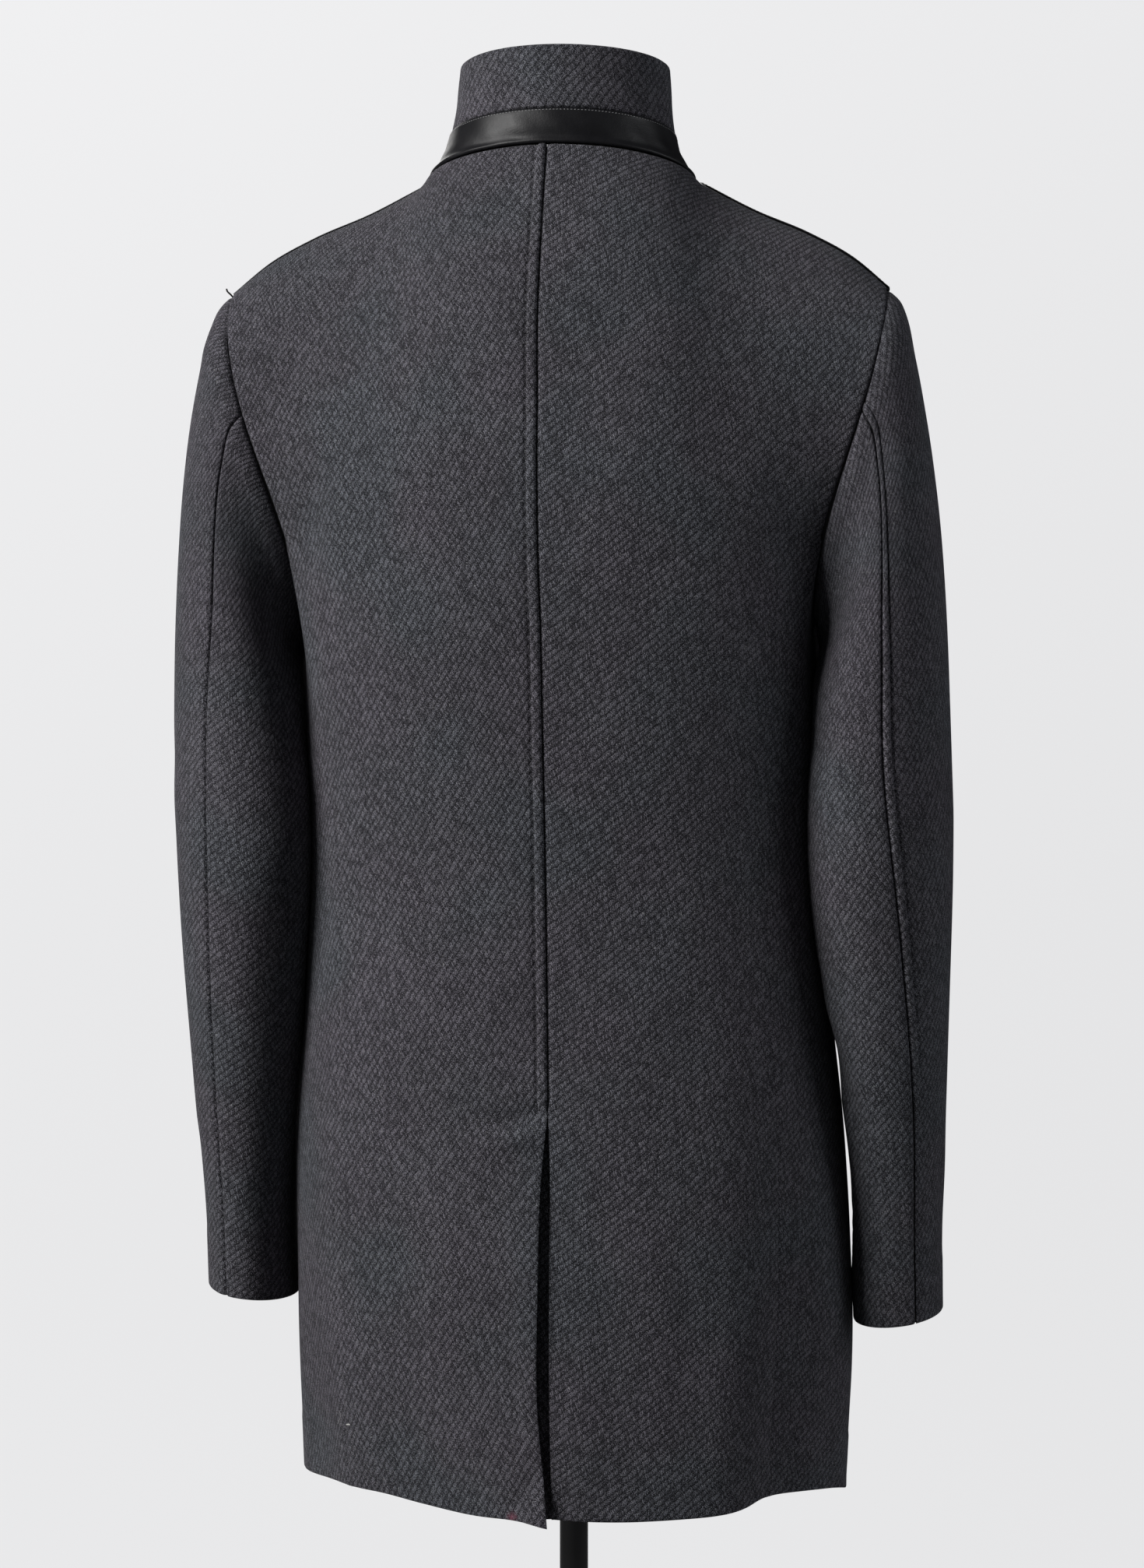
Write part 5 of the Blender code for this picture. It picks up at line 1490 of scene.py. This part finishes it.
class COAT_OT_front(bpy.types.Operator):
    """Sews the two front panels with their stitched edges"""

    bl_idname = "coat.front"
    bl_label = "Front"

    def execute(self, context):
        wool, lining = wool_material(), lining_material()
        width = context.scene.coat_cloth.welt_width
        for side, word in SIDES.items():
            name, sheet = front_sheet(side, width)
            lined = (sheet.low > FACING_DEPTH) & (sheet.first > FRONT_FACING)
            obj = cloth(name, sheet, self.matched(sheet, name, side, width), CLOTH, (wool, lining), lined)
            cut(worn(obj, "wool", name), sheet, "form_cover")
            wool_stitches(f"stitches_front_{word}", [sheet.line("first", width)])
        return {"FINISHED"}

    def matched(self, sheet, name, side, welt_width):
        """The weave of a front, carried on from the back across the side-back seam."""
        _, back = back_sheet(side, welt_width)
        reach = back.first[:, -1] + sheet.first[:, -1]
        top = int(np.count_nonzero(body_levels() <= 1)) - 1
        reach[top:] = reach[top]
        return weave_of(sheet, name, -side, reach[:, None] - sheet.first)


class COAT_OT_sleeves(bpy.types.Operator):
    """Sets in the two sleeves, each of a top and an under piece"""

    bl_idname = "coat.sleeves"
    bl_label = "Sleeves"

    def execute(self, context):
        wool, lining = wool_material(), lining_material()
        width = context.scene.coat_cloth.welt_width
        for side, word in SIDES.items():
            for part, turn in (("top", -side), ("under", side)):
                name, sheet = sleeve_sheet(side, part, width)
                lined = sheet.low > FACING_DEPTH
                obj = cloth(name, sheet, weave_of(sheet, name, turn), CLOTH, (wool, lining), lined)
                cut(worn(obj, "wool", name), sheet, f"back_{word}", f"front_{word}")
        return {"FINISHED"}


class COAT_OT_collar(bpy.types.Operator):
    """Stands up the collar on its leather band"""

    bl_idname = "coat.collar"
    bl_label = "Collar and Band"

    def execute(self, context):
        wool, leather = wool_material(), leather_material()
        collar = collar_sheet(False)
        collar.unevenness(9)
        collar.stand += 0.0004 * np.sin(collar.first / 0.021) * ease(collar.low / 0.02)
        collar.stand -= 0.0006 * hump(collar.low, 0.0012)
        obj = cloth("collar", collar, weave_of(collar, "collar", -1), COLLAR_CLOTH, (wool,), pressed=0.0)
        cut(worn(obj, "wool", "collar"), collar, "collar_band")

        band = collar_sheet(True)
        band.stand += 0.0014 * hump(band.low - 0.0012, 0.0022) + 0.0005 * hump(band.low - 0.011, 0.007)
        band.stand += 0.00035 * np.sin(band.first / 0.013) * np.sin(band.first / 0.0057) * ease(band.edge / 0.004)
        band.stand += 0.0007 * ease(band.low / 0.012)
        obj = cloth("collar_band", band, weave_of(band, "collar", -1), LEATHER, (leather,), pressed=0.0)
        cut(worn(obj, "leather", "collar_band"), band, "back_left", "back_right")
        thread = thread_material("band_thread", context.scene.coat_trim.band_thread)
        line = band.outside()[BAND_STITCH_ROW], band.normals[BAND_STITCH_ROW]
        worn(stitches("stitches_band", [line], 0.0015, 0.0023, 0.00024, thread, 0.0), "leather")
        return {"FINISHED"}


class COAT_OT_strips(bpy.types.Operator):
    """Lays a leather strip along each shoulder seam"""

    bl_idname = "coat.strips"
    bl_label = "Shoulder Strips"

    def execute(self, context):
        leather = leather_material()
        thread = thread_material("trim_thread", context.scene.coat_trim.leather)
        near = NEAR_SEAM[:5]
        away = np.concatenate((near, np.linspace(0.004, STRIP_WIDTH - 0.004, 5), STRIP_WIDTH - near[::-1]))
        shoulder = np.linalg.norm(np.diff(SHOULDER_LINE[:, 1:], axis=0), axis=1).sum()
        for side, word in SIDES.items():
            _, sheet = front_sheet(side, context.scene.coat_cloth.welt_width)
            first = int(np.argmin(np.abs(sheet.last[-1] - (shoulder - STRIP_SHORT))))
            last = int(np.nonzero(~np.isnan(sheet.points[-1, :, 0]))[0][-1])
            both = np.concatenate((sheet.points, sheet.normals), axis=-1)[::-1]
            found = []
            for column in range(first, last + 1):
                down, values = sheet.high[::-1, column], both[:, column]
                known = ~np.isnan(values[:, 0])
                found.append([np.interp(away + 0.0006, down[known], item[known]) for item in values.T])
            found = np.array(found)[::side].transpose(2, 0, 1)
            strip = Sheet(found[..., :3], (0, 0.02, 1.0))
            strip.normals = unit(found[..., 3:])
            strip.stand += STRIP_GAP + TRIM + 0.0003 * hump(strip.low - STRIP_WIDTH / 2, 0.004)
            name, weave = f"shoulder_strip_{word}", np.stack((strip.first, strip.low), -1)
            worn(cloth(name, strip, weave, TRIM, (leather,), pressed=0.0), "leather", name)
            lines = [(strip.outside()[row], strip.normals[row]) for row in (4, len(away) - 5)]
            worn(stitches(f"stitches_strip_{word}", lines, 0.0018, 0.0026, 0.00022, thread, 0.0), "leather")
        return {"FINISHED"}


class COAT_OT_flaps(bpy.types.Operator):
    """Hangs a pocket flap on each front"""

    bl_idname = "coat.flaps"
    bl_label = "Pocket Flaps"

    def execute(self, context):
        wool = wool_material()
        share = np.concatenate((NEAR_WELT / 0.13, np.linspace(0.11, 0.89, 26), 1 - NEAR_WELT[::-1] / 0.13))
        rows = np.concatenate((NEAR_WELT / FLAP_DROP, np.linspace(0.24, 0.94, 14), (0.97, 0.985, 1.0)))
        rounding = FLAP_CORNER * np.clip((np.abs(2 * share - 1) - 0.80) / 0.20, 0, 1) ** 2.6
        down = 1 - rows[:, None]
        level = FLAP_TOP - (FLAP_DROP - rounding[None, :]) * down
        spread = np.broadcast_to(FLAP_BACK_ANGLE + FLAP_SPAN * share, level.shape)
        for side, word in SIDES.items():
            name = f"pocket_flap_{word}"
            stand = fold_height(spread, level, side) + FLAP_GAP + FLAP_SWING * down ** 2 + FLAP_CLOTH
            points = hung(body_point(spread, level) + outwards(spread) * stand[..., None], side)
            sheet = Sheet(points, BODY_AXIS)
            edge = np.minimum(np.minimum(sheet.first, sheet.last), sheet.low)
            sheet.stand -= 0.0005 * hump(edge - FLAP_STITCHES, 0.0007)
            sheet.stand += 0.0003 * ease(edge / 0.002)
            obj = cloth(name, sheet, weave_of(sheet, "pocket_flap", side), FLAP_CLOTH, (wool,), pressed=0.25)
            cut(worn(obj, "wool", name), sheet, f"front_{word}")
            outer, normals = sheet.outside(), sheet.normals
            row = int(np.argmin(np.abs(sheet.low[:, len(share) // 2] - FLAP_STITCHES)))
            column = int(np.argmin(np.abs(sheet.first[0] - FLAP_STITCHES)))
            keep = slice(column, len(share) - column)
            lines = [(outer[row, keep], normals[row, keep])]
            for at in (column, len(share) - 1 - column):
                lines.append((outer[row:, at], normals[row:, at]))
            wool_stitches(f"stitches_flap_{word}", lines, 0.00026)
        return {"FINISHED"}


class COAT_OT_buttons(bpy.types.Operator):
    """Sews on four horn buttons, with their thread and buttonholes"""

    bl_idname = "coat.buttons"
    bl_label = "Buttons"

    def execute(self, context):
        horn = horn_material()
        thread = thread_material("button_thread", (0.03, 0.03, 0.034))
        _, sheet = front_sheet(1, context.scene.coat_cloth.welt_width)
        outer = sheet.outside()
        profile = ((0.0, 0.0), (0.0098, 0.0), (0.0128, 0.0008), (BUTTON_RADIUS, 0.0021), (0.0136, 0.0036),
                   (0.0124, BUTTON_HEIGHT), (0.0112, 0.0041), (0.0102, 0.0034), (0.0085, 0.0029), (0.0, 0.0027))
        for number, level in enumerate(BUTTON_LEVELS, 1):
            row, _, normal = sheet.spot(BUTTON_INSET, level)
            low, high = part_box(f"button_{number}")
            base = (low + high) / 2 - normal * (BUTTON_HEIGHT / 2)
            place = Matrix.Translation(base) @ facing(normal, (1, 0, 0))
            button = turned(f"horn_button_{number}", rounded(profile, 0.0006, 3)[::-1], horn, 48, place)
            self.drill(button, place)
            worn(button, "horn", f"button_{number}")
            worn(self.sewing(f"button_thread_{number}", place, thread), "wool")
            beside = (sheet.first[row] > BUTTONHOLE[0]) & (sheet.first[row] < BUTTONHOLE[1])
            worn(self.buttonhole(f"buttonhole_{number}", outer[row, beside], sheet.normals[row, 3], thread), "wool")
        return {"FINISHED"}

    def drill(self, button, place):
        """Four holes through the button."""
        bm = bmesh.new()
        for hole in range(4):
            turn = pi / 4 + hole * pi / 2
            at = Matrix.Translation((BUTTON_HOLE_OFFSET * cos(turn), BUTTON_HOLE_OFFSET * sin(turn), 0.002))
            bmesh.ops.create_cone(bm, segments=16, radius1=BUTTON_HOLE, radius2=BUTTON_HOLE, depth=0.012,
                                  cap_ends=True, matrix=place @ at)
        cutter = bpy.data.objects.new("drill", mesh_of("drill", bm))
        bpy.context.scene.collection.objects.link(cutter)
        drilled = button.modifiers.new("holes", "BOOLEAN")
        drilled.operation, drilled.solver, drilled.object = "DIFFERENCE", "EXACT", cutter
        result = bpy.data.meshes.new_from_object(button.evaluated_get(bpy.context.evaluated_depsgraph_get()))
        button.modifiers.clear()
        button.data = result
        result.shade_smooth()
        result.set_sharp_from_angle(angle=SHARP)
        bpy.data.objects.remove(cutter)

    def sewing(self, name, place, thread):
        """Two crossed passes of thread through the holes, and the shank under the button."""
        bm = bmesh.new()
        for turn in (pi / 4, -pi / 4):
            for offset in (-0.0003, 0.0003):
                at = Matrix.Rotation(turn, 4, "Z") @ Matrix.Translation((0, offset, 0.0030))
                size = Matrix.Diagonal((BUTTON_HOLE_OFFSET + 0.0004, 0.00032, 0.0005, 1))
                bmesh.ops.create_uvsphere(bm, u_segments=10, v_segments=6, radius=1, matrix=place @ at @ size)
        shank = Matrix.Translation((0, 0, -BUTTON_SHANK / 2))
        bmesh.ops.create_cone(bm, segments=12, radius1=0.0024, radius2=0.0024, depth=BUTTON_SHANK + 0.0006,
                              cap_ends=True, matrix=place @ shank)
        return shown(name, mesh_of(name, bm, thread))

    def buttonhole(self, name, slit, normal, thread):
        """Close stitches on both sides of the slit beside the button."""
        points, directions, normals = spaced_along(slit, np.broadcast_to(normal, slit.shape), 0.0007)
        across = unit(np.cross(normals, directions))
        matrices = [bead_places(points + across * above * 0.0011 + normals * 0.0001, across, normals,
                                (0.0009, 0.00034, 0.00034)) for above in (-1, 1)]
        return beads(name, np.concatenate(matrices), thread)


class COAT_OT_shade_tapes(bpy.types.Operator):
    """Puts dark strips behind the neckline, the armholes and the long seams: painted shade where light would show
    through their gaps
    """

    bl_idname = "coat.tapes"
    bl_label = "Seam Shade Tapes"

    def execute(self, context):
        # a near-black material for the strips, standing in for the shade inside the seams
        dark = thread_material("seam_tape", (0.006, 0.006, 0.007))
        width = context.scene.coat_cloth.welt_width
        turn = np.linspace(-1, 1, 161) * (pi + NECK_LAP_ANGLE)
        neckline = hung(collar_point(0.0, turn, LAP_LIFT), 1)
        shade_tape("tape_neckline", neckline + (0, 0, 0.0014), ((0, NECK_CENTRE, 0) - neckline) * (1, 1, 0), dark)
        below = slice(0, int(np.count_nonzero(body_levels() <= 1)))
        for side, word in SIDES.items():
            armhole = hung(armhole_point(np.linspace(0, ARMHOLE_STEPS, 97)), side)
            shade_tape(f"tape_armhole_{word}", armhole, armhole[:-1].mean(axis=0) - armhole, dark)
            shoulder = hung(np.moveaxis(smooth_rows(SHOULDER_LINE, np.linspace(0, 1, 31)), 0, -1), side)
            shade_tape(f"tape_shoulder_{word}", shoulder, np.broadcast_to((0.0, 0.0, -1.0), shoulder.shape), dark)
            _, back = back_sheet(side, width)
            points, normals = back.line("last", 0.0, below)
            shade_tape(f"tape_side_{word}", points, -normals, dark)
            _, sleeve = sleeve_sheet(side, "top", width)
            for edge, part in (("first", "back"), ("last", "front")):
                points, normals = sleeve.line(edge, 0.0)
                shade_tape(f"tape_sleeve_{part}_{word}", points, -normals, dark)
        _, back = back_sheet(1, width)
        points, normals = back.line("first", 0.0)
        sewn = points[:, 2] > VENT_TOP
        shade_tape("tape_centre_back", points[sewn], -normals[sewn], dark)
        return {"FINISHED"}


class COAT_OT_loose_bits(bpy.types.Operator):
    """Adds the loose thread on the left shoulder and the fluff near the hem"""

    bl_idname = "coat.loose_bits"
    bl_label = "Loose Bits"

    def execute(self, context):
        shoulder = Vector(hung(SHOULDER_POINT, 1))
        dark = thread_material("loose_thread", (0.004, 0.004, 0.005))
        curl = [shoulder + Vector(step) for step in (
            (-0.0010, 0.006, -0.0030), (0.0002, 0.008, -0.0010), (0.0016, 0.009, 0.0006),
            (0.0028, 0.0095, 0.0014), (0.0034, 0.0095, 0.0026), (0.0037, 0.0092, 0.0036))]
        worn(thread_curve("loose_thread", curl, 0.0006, dark), "wool")
        _, sheet = back_sheet(1, context.scene.coat_cloth.welt_width)
        _, point, normal = sheet.spot(*FLUFF_ON_HEM)
        pale = thread_material("pale_fluff", (0.75, 0.75, 0.74))
        speck = [point + normal * 0.0006 + Vector(step) for step in (
            (0.0012, 0, 0.0002), (0.0004, 0, 0.0005), (-0.0004, 0, 0.0002), (-0.0012, 0, 0.0004))]
        worn(thread_curve("fluff_speck", speck, 0.00045, pale), "wool")
        grey = thread_material("grey_fluff", (0.30, 0.30, 0.30))
        fibre = [point + normal * 0.0007 + Vector(step) for step in (
            (0.0068, -0.001, 0.0006), (0.0060, -0.001, 0.0030), (0.0052, -0.001, 0.0044), (0.0050, -0.001, 0.0070),
            (0.0062, -0.001, 0.0090))]
        worn(thread_curve("fluff_fibre", fibre, 0.00013, grey), "wool")
        return {"FINISHED"}


class COAT_OT_form(bpy.types.Operator):
    """Makes the dress form inside the coat, with its cover and its cap"""

    bl_idname = "coat.form"
    bl_label = "Dress Form"

    def execute(self, context):
        steps, height = 96, np.linspace(FORM_SECTIONS[0, 0], FORM_SECTIONS[-1, 0], 110)
        angles = np.linspace(0, 2 * pi, steps + 1)
        half_width, back, front, centre = (column[:, None] for column in smooth_rows(FORM_SECTIONS, height))
        points = level_outline(angles[None, :], height[:, None], half_width, back, front, centre,
                               FORM_SQUARE, FORM_SQUARE)
        caps = []
        for ring in (points[0], points[-1]):
            middle = ring.mean(axis=0)
            caps.append([middle + (ring - middle) * share for share in (0.0, 0.35, 0.7, 0.93, 0.985)])
        rows = np.array(caps[0] + list(points) + caps[1][::-1])
        bm = bmesh.new()
        bmesh.ops.create_grid(bm, x_segments=steps, y_segments=len(rows) - 1, size=1)
        weave = bm.loops.layers.uv.new("weave")
        for face in bm.faces:
            for loop in face.loops:
                loop[weave].uv = ((loop.vert.co.x + 1) / 2 * 0.95, (loop.vert.co.y + 1) / 2 * 0.75)
        for vert in bm.verts:
            vert.co = rows[grid_place(vert, len(rows) - 1, steps)]
        bmesh.ops.remove_doubles(bm, verts=bm.verts[:], dist=MERGE)
        bmesh.ops.recalc_face_normals(bm, faces=bm.faces[:])
        mesh = mesh_of("form_cover", bm, cover_material())
        cover = shown("form_cover", mesh)
        mesh.set_sharp_from_angle(angle=radians(60))
        worn(cover, "form_cover", "form_torso")

        height, _, _, _, centre = FORM_SECTIONS[-1]
        disc = ((0.0, 0.006), (0.046, 0.006), (0.052, 0.003), (0.052, 0.0006), (0.0, 0.0006))
        place = Matrix.Translation((0, centre, height)) @ Matrix.Diagonal((1.10, 0.95, 1, 1))
        worn(turned("form_neck_cap", rounded(disc, 0.003), metal_material(), 64, place), "stand_metal")
        seam = thread_material("cover_thread", (0.45, 0.43, 0.39))
        lines = [(points[:, column], np.tile(outwards(angles[column]), (len(points), 1)))
                 for column in range(0, steps, steps // 4)]
        worn(stitches("stitches_form", lines, 0.0034, 0.0046, 0.0004, seam, -0.0001), "form_cover")
        return {"FINISHED"}


class COAT_OT_stand(bpy.types.Operator):
    """Turns the pole with its flange and the round base"""

    bl_idname = "coat.stand"
    bl_label = "Stand"

    def execute(self, context):
        metal = metal_material()
        top = FORM_SECTIONS[0, 0] - 0.0005
        socket = BASE_THICKNESS * 0.5 + 0.0005
        pole = ((0.0, top), (FLANGE_RADIUS, top), (FLANGE_RADIUS, top - FLANGE_THICKNESS),
                (POLE_RADIUS + 0.004, top - FLANGE_THICKNESS), (POLE_RADIUS, top - FLANGE_THICKNESS - 0.006),
                (POLE_RADIUS, socket), (0.0, socket))
        worn(turned("pole", rounded(pole, 0.0016), metal, 64), "stand_metal", "stand_pole")
        boss_top = BASE_THICKNESS + BASE_BOSS_HEIGHT
        bore = POLE_RADIUS + 0.0005
        base = ((0.0, BASE_THICKNESS * 0.5), (bore, BASE_THICKNESS * 0.5), (bore, boss_top),
                (BASE_BOSS_RADIUS, boss_top), (BASE_BOSS_RADIUS, BASE_THICKNESS), (BASE_RADIUS, BASE_THICKNESS),
                (BASE_RADIUS, 0.0), (0.0, 0.0))
        worn(turned("base", rounded(base, 0.0026, 5), metal, 128), "stand_metal", "stand_base")
        screw_place = (Matrix.Translation((0, BASE_BOSS_RADIUS - 0.001, BASE_THICKNESS + 0.024))
                       @ facing((0, 1, 0), (1, 0, 0)))
        knob = ((0.0, 0.012), (0.0065, 0.012), (0.0075, 0.010), (0.0075, 0.004), (0.0035, 0.003),
                (0.0035, 0.0), (0.0, 0.0))
        worn(turned("clamp_screw", rounded(knob, 0.0010, 3), metal, 32, screw_place), "stand_metal")
        return {"FINISHED"}


def backdrop_look(tree):
    """A floor that passes into an even, bright wall; only the camera sees either so bright."""
    look, place = bpy.context.scene.coat_studio, tree.on_object()
    seen = tree.add("ShaderNodeLightPath").outputs["Is Camera Ray"]
    level = tree.add("ShaderNodeMapping", {"Vector": place, "Scale": (1.0, 1.0, 0.0)}).outputs[0]
    away = tree.vector_math("LENGTH", level)["Value"]
    far = tree.span(away, 0.5, 1.9, interpolation_type="SMOOTHSTEP")
    lit = tree.math("MULTIPLY", seen, far)
    floor = tree.tones(tree.noise(place, 0.7, 1.0), look.backdrop, 0.985, 1.015)
    # the floor is darker for every ray but the camera's, so it throws back less light than it shows
    floor = tree.mix(seen, colour4(look.backdrop, 0.25), floor)
    split = tree.split(place)
    # painted light: the wall's glow, seen only by the camera, is lighter at the picture's left and a little lighter
    # towards the top
    sideways, upwards = tree.span(split["X"], -1.5, 3.4), tree.span(split["Z"], 0.5, 4.5, 0.98, 1.06)
    strength = tree.math("MULTIPLY_ADD", lit, 0.75, tree.math("MULTIPLY", seen, 0.25))
    return {"base_color": tree.mix(lit, floor, (0.0, 0.0, 0.0, 1.0)),
            "emission_color": tree.mix(sideways, colour4(look.wall_right), colour4(look.wall_left)),
            "emission_strength": tree.math("MULTIPLY", strength, upwards)}


class COAT_OT_studio(bpy.types.Operator):
    """Sets up the floor, the backdrop, the lights and the camera"""

    bl_idname = "coat.studio"
    bl_label = "Studio"

    def execute(self, context):
        look = context.scene.coat_studio
        made = material_of("backdrop", backdrop_look, roughness=0.9, specular_ior_level=0.1)
        flat, wall, height = 3.2, 11.0, 10.0
        profile = [(0.0, 0.0), (flat, 0.0)]
        for step in range(1, 25):
            turn = pi / 2 * step / 24
            profile.append((flat + (wall - flat) * sin(turn), (height * 0.8) * (1 - cos(turn))))
        profile.append((wall, height))
        shown("studio_floor", mesh_of("studio_floor", spun(profile, 96), made))

        world = bpy.data.worlds.new("studio_air")
        context.scene.world = world
        world.use_nodes = True
        air = world.node_tree.nodes["Background"].inputs
        air["Color"].default_value, air["Strength"].default_value = (0.93, 0.95, 1.0, 1), look.air
        self.light("key_light", (2.5, 2.0, 2.75), (0.0, 0.1, 1.20), (1.7, 1.7), look.key_power, (1.0, 0.99, 0.98))
        self.light("fill_light", (-3.7, 0.7, 2.1), (0.0, 0.0, 1.2), (2.0, 2.0), look.fill_power, (0.95, 0.97, 1.0))
        self.light("front_light", (1.0, -3.4, 2.2), (0.0, 0.0, 1.1), (2.4, 2.4), look.front_power, (1.0, 0.99, 0.98))
        self.camera()
        context.scene.view_settings.view_transform = "Standard"
        return {"FINISHED"}

    def light(self, name, place, target, size, power, colour):
        data = bpy.data.lights.new(name, "AREA")
        data.shape, data.size, data.size_y = "RECTANGLE", *size
        data.energy, data.color = power, colour
        obj = bpy.data.objects.new(name, data)
        obj.location = place
        obj.rotation_euler = (Vector(target) - Vector(place)).to_track_quat("-Z", "Y").to_euler()
        obj.visible_camera = False
        bpy.context.scene.collection.objects.link(obj)

    def camera(self):
        distance, turn, eye_level = 2.4, radians(5.5), 1.198
        picture_width, picture_height, pixel = 1470, 2014, 0.000525
        pole_at, horizon_at, sensor = 737.5, 800.0, 36.0
        data = bpy.data.cameras.new("view")
        data.sensor_width = sensor
        data.lens = distance / pixel / picture_height * sensor
        data.shift_x = (picture_width / 2 - pole_at) / picture_height
        data.shift_y = (horizon_at - picture_height / 2) / picture_height
        obj = bpy.data.objects.new("view", data)
        obj.location = (-distance * sin(turn), distance * cos(turn), eye_level)
        obj.rotation_euler = Vector((sin(turn), -cos(turn), 0)).to_track_quat("-Z", "Y").to_euler()
        bpy.context.scene.collection.objects.link(obj)
        bpy.context.scene.camera = obj


class COAT_PT_parts(bpy.types.Panel):
    """Lists the coat's settings and the buttons that make its pieces"""

    bl_label = "Long Coat"
    bl_idname = "COAT_PT_parts"
    bl_space_type = "VIEW_3D"
    bl_region_type = "UI"
    bl_category = "Coat"

    def draw(self, context):
        for group in (context.scene.coat_cloth, context.scene.coat_trim, context.scene.coat_stand,
                      context.scene.coat_studio):
            column = self.layout.column(align=True)
            for name in group.__annotations__:
                column.prop(group, name)
        for operator in PIECES:
            self.layout.operator(operator.bl_idname)


SETTINGS = {"coat_cloth": CoatCloth, "coat_trim": CoatTrim, "coat_stand": CoatStand, "coat_studio": CoatStudio}
PIECES = (COAT_OT_studio, COAT_OT_form, COAT_OT_stand, COAT_OT_back, COAT_OT_front, COAT_OT_sleeves,
          COAT_OT_collar, COAT_OT_strips, COAT_OT_flaps, COAT_OT_buttons, COAT_OT_shade_tapes, COAT_OT_loose_bits)


def register():
    for group in (*SETTINGS.values(), *PIECES, COAT_PT_parts):
        bpy.utils.register_class(group)
    for name, group in SETTINGS.items():
        setattr(bpy.types.Scene, name, bpy.props.PointerProperty(type=group))


def unregister():
    for name in SETTINGS:
        delattr(bpy.types.Scene, name)
    for group in reversed((*SETTINGS.values(), *PIECES, COAT_PT_parts)):
        bpy.utils.unregister_class(group)


def main():
    register()
    for operator in PIECES:
        call = getattr(bpy.ops.coat, operator.bl_idname.split(".")[1])
        if call() != {"FINISHED"}:
            raise RuntimeError(f"{operator.bl_label} was not made")


if __name__ == "__main__":
    main()
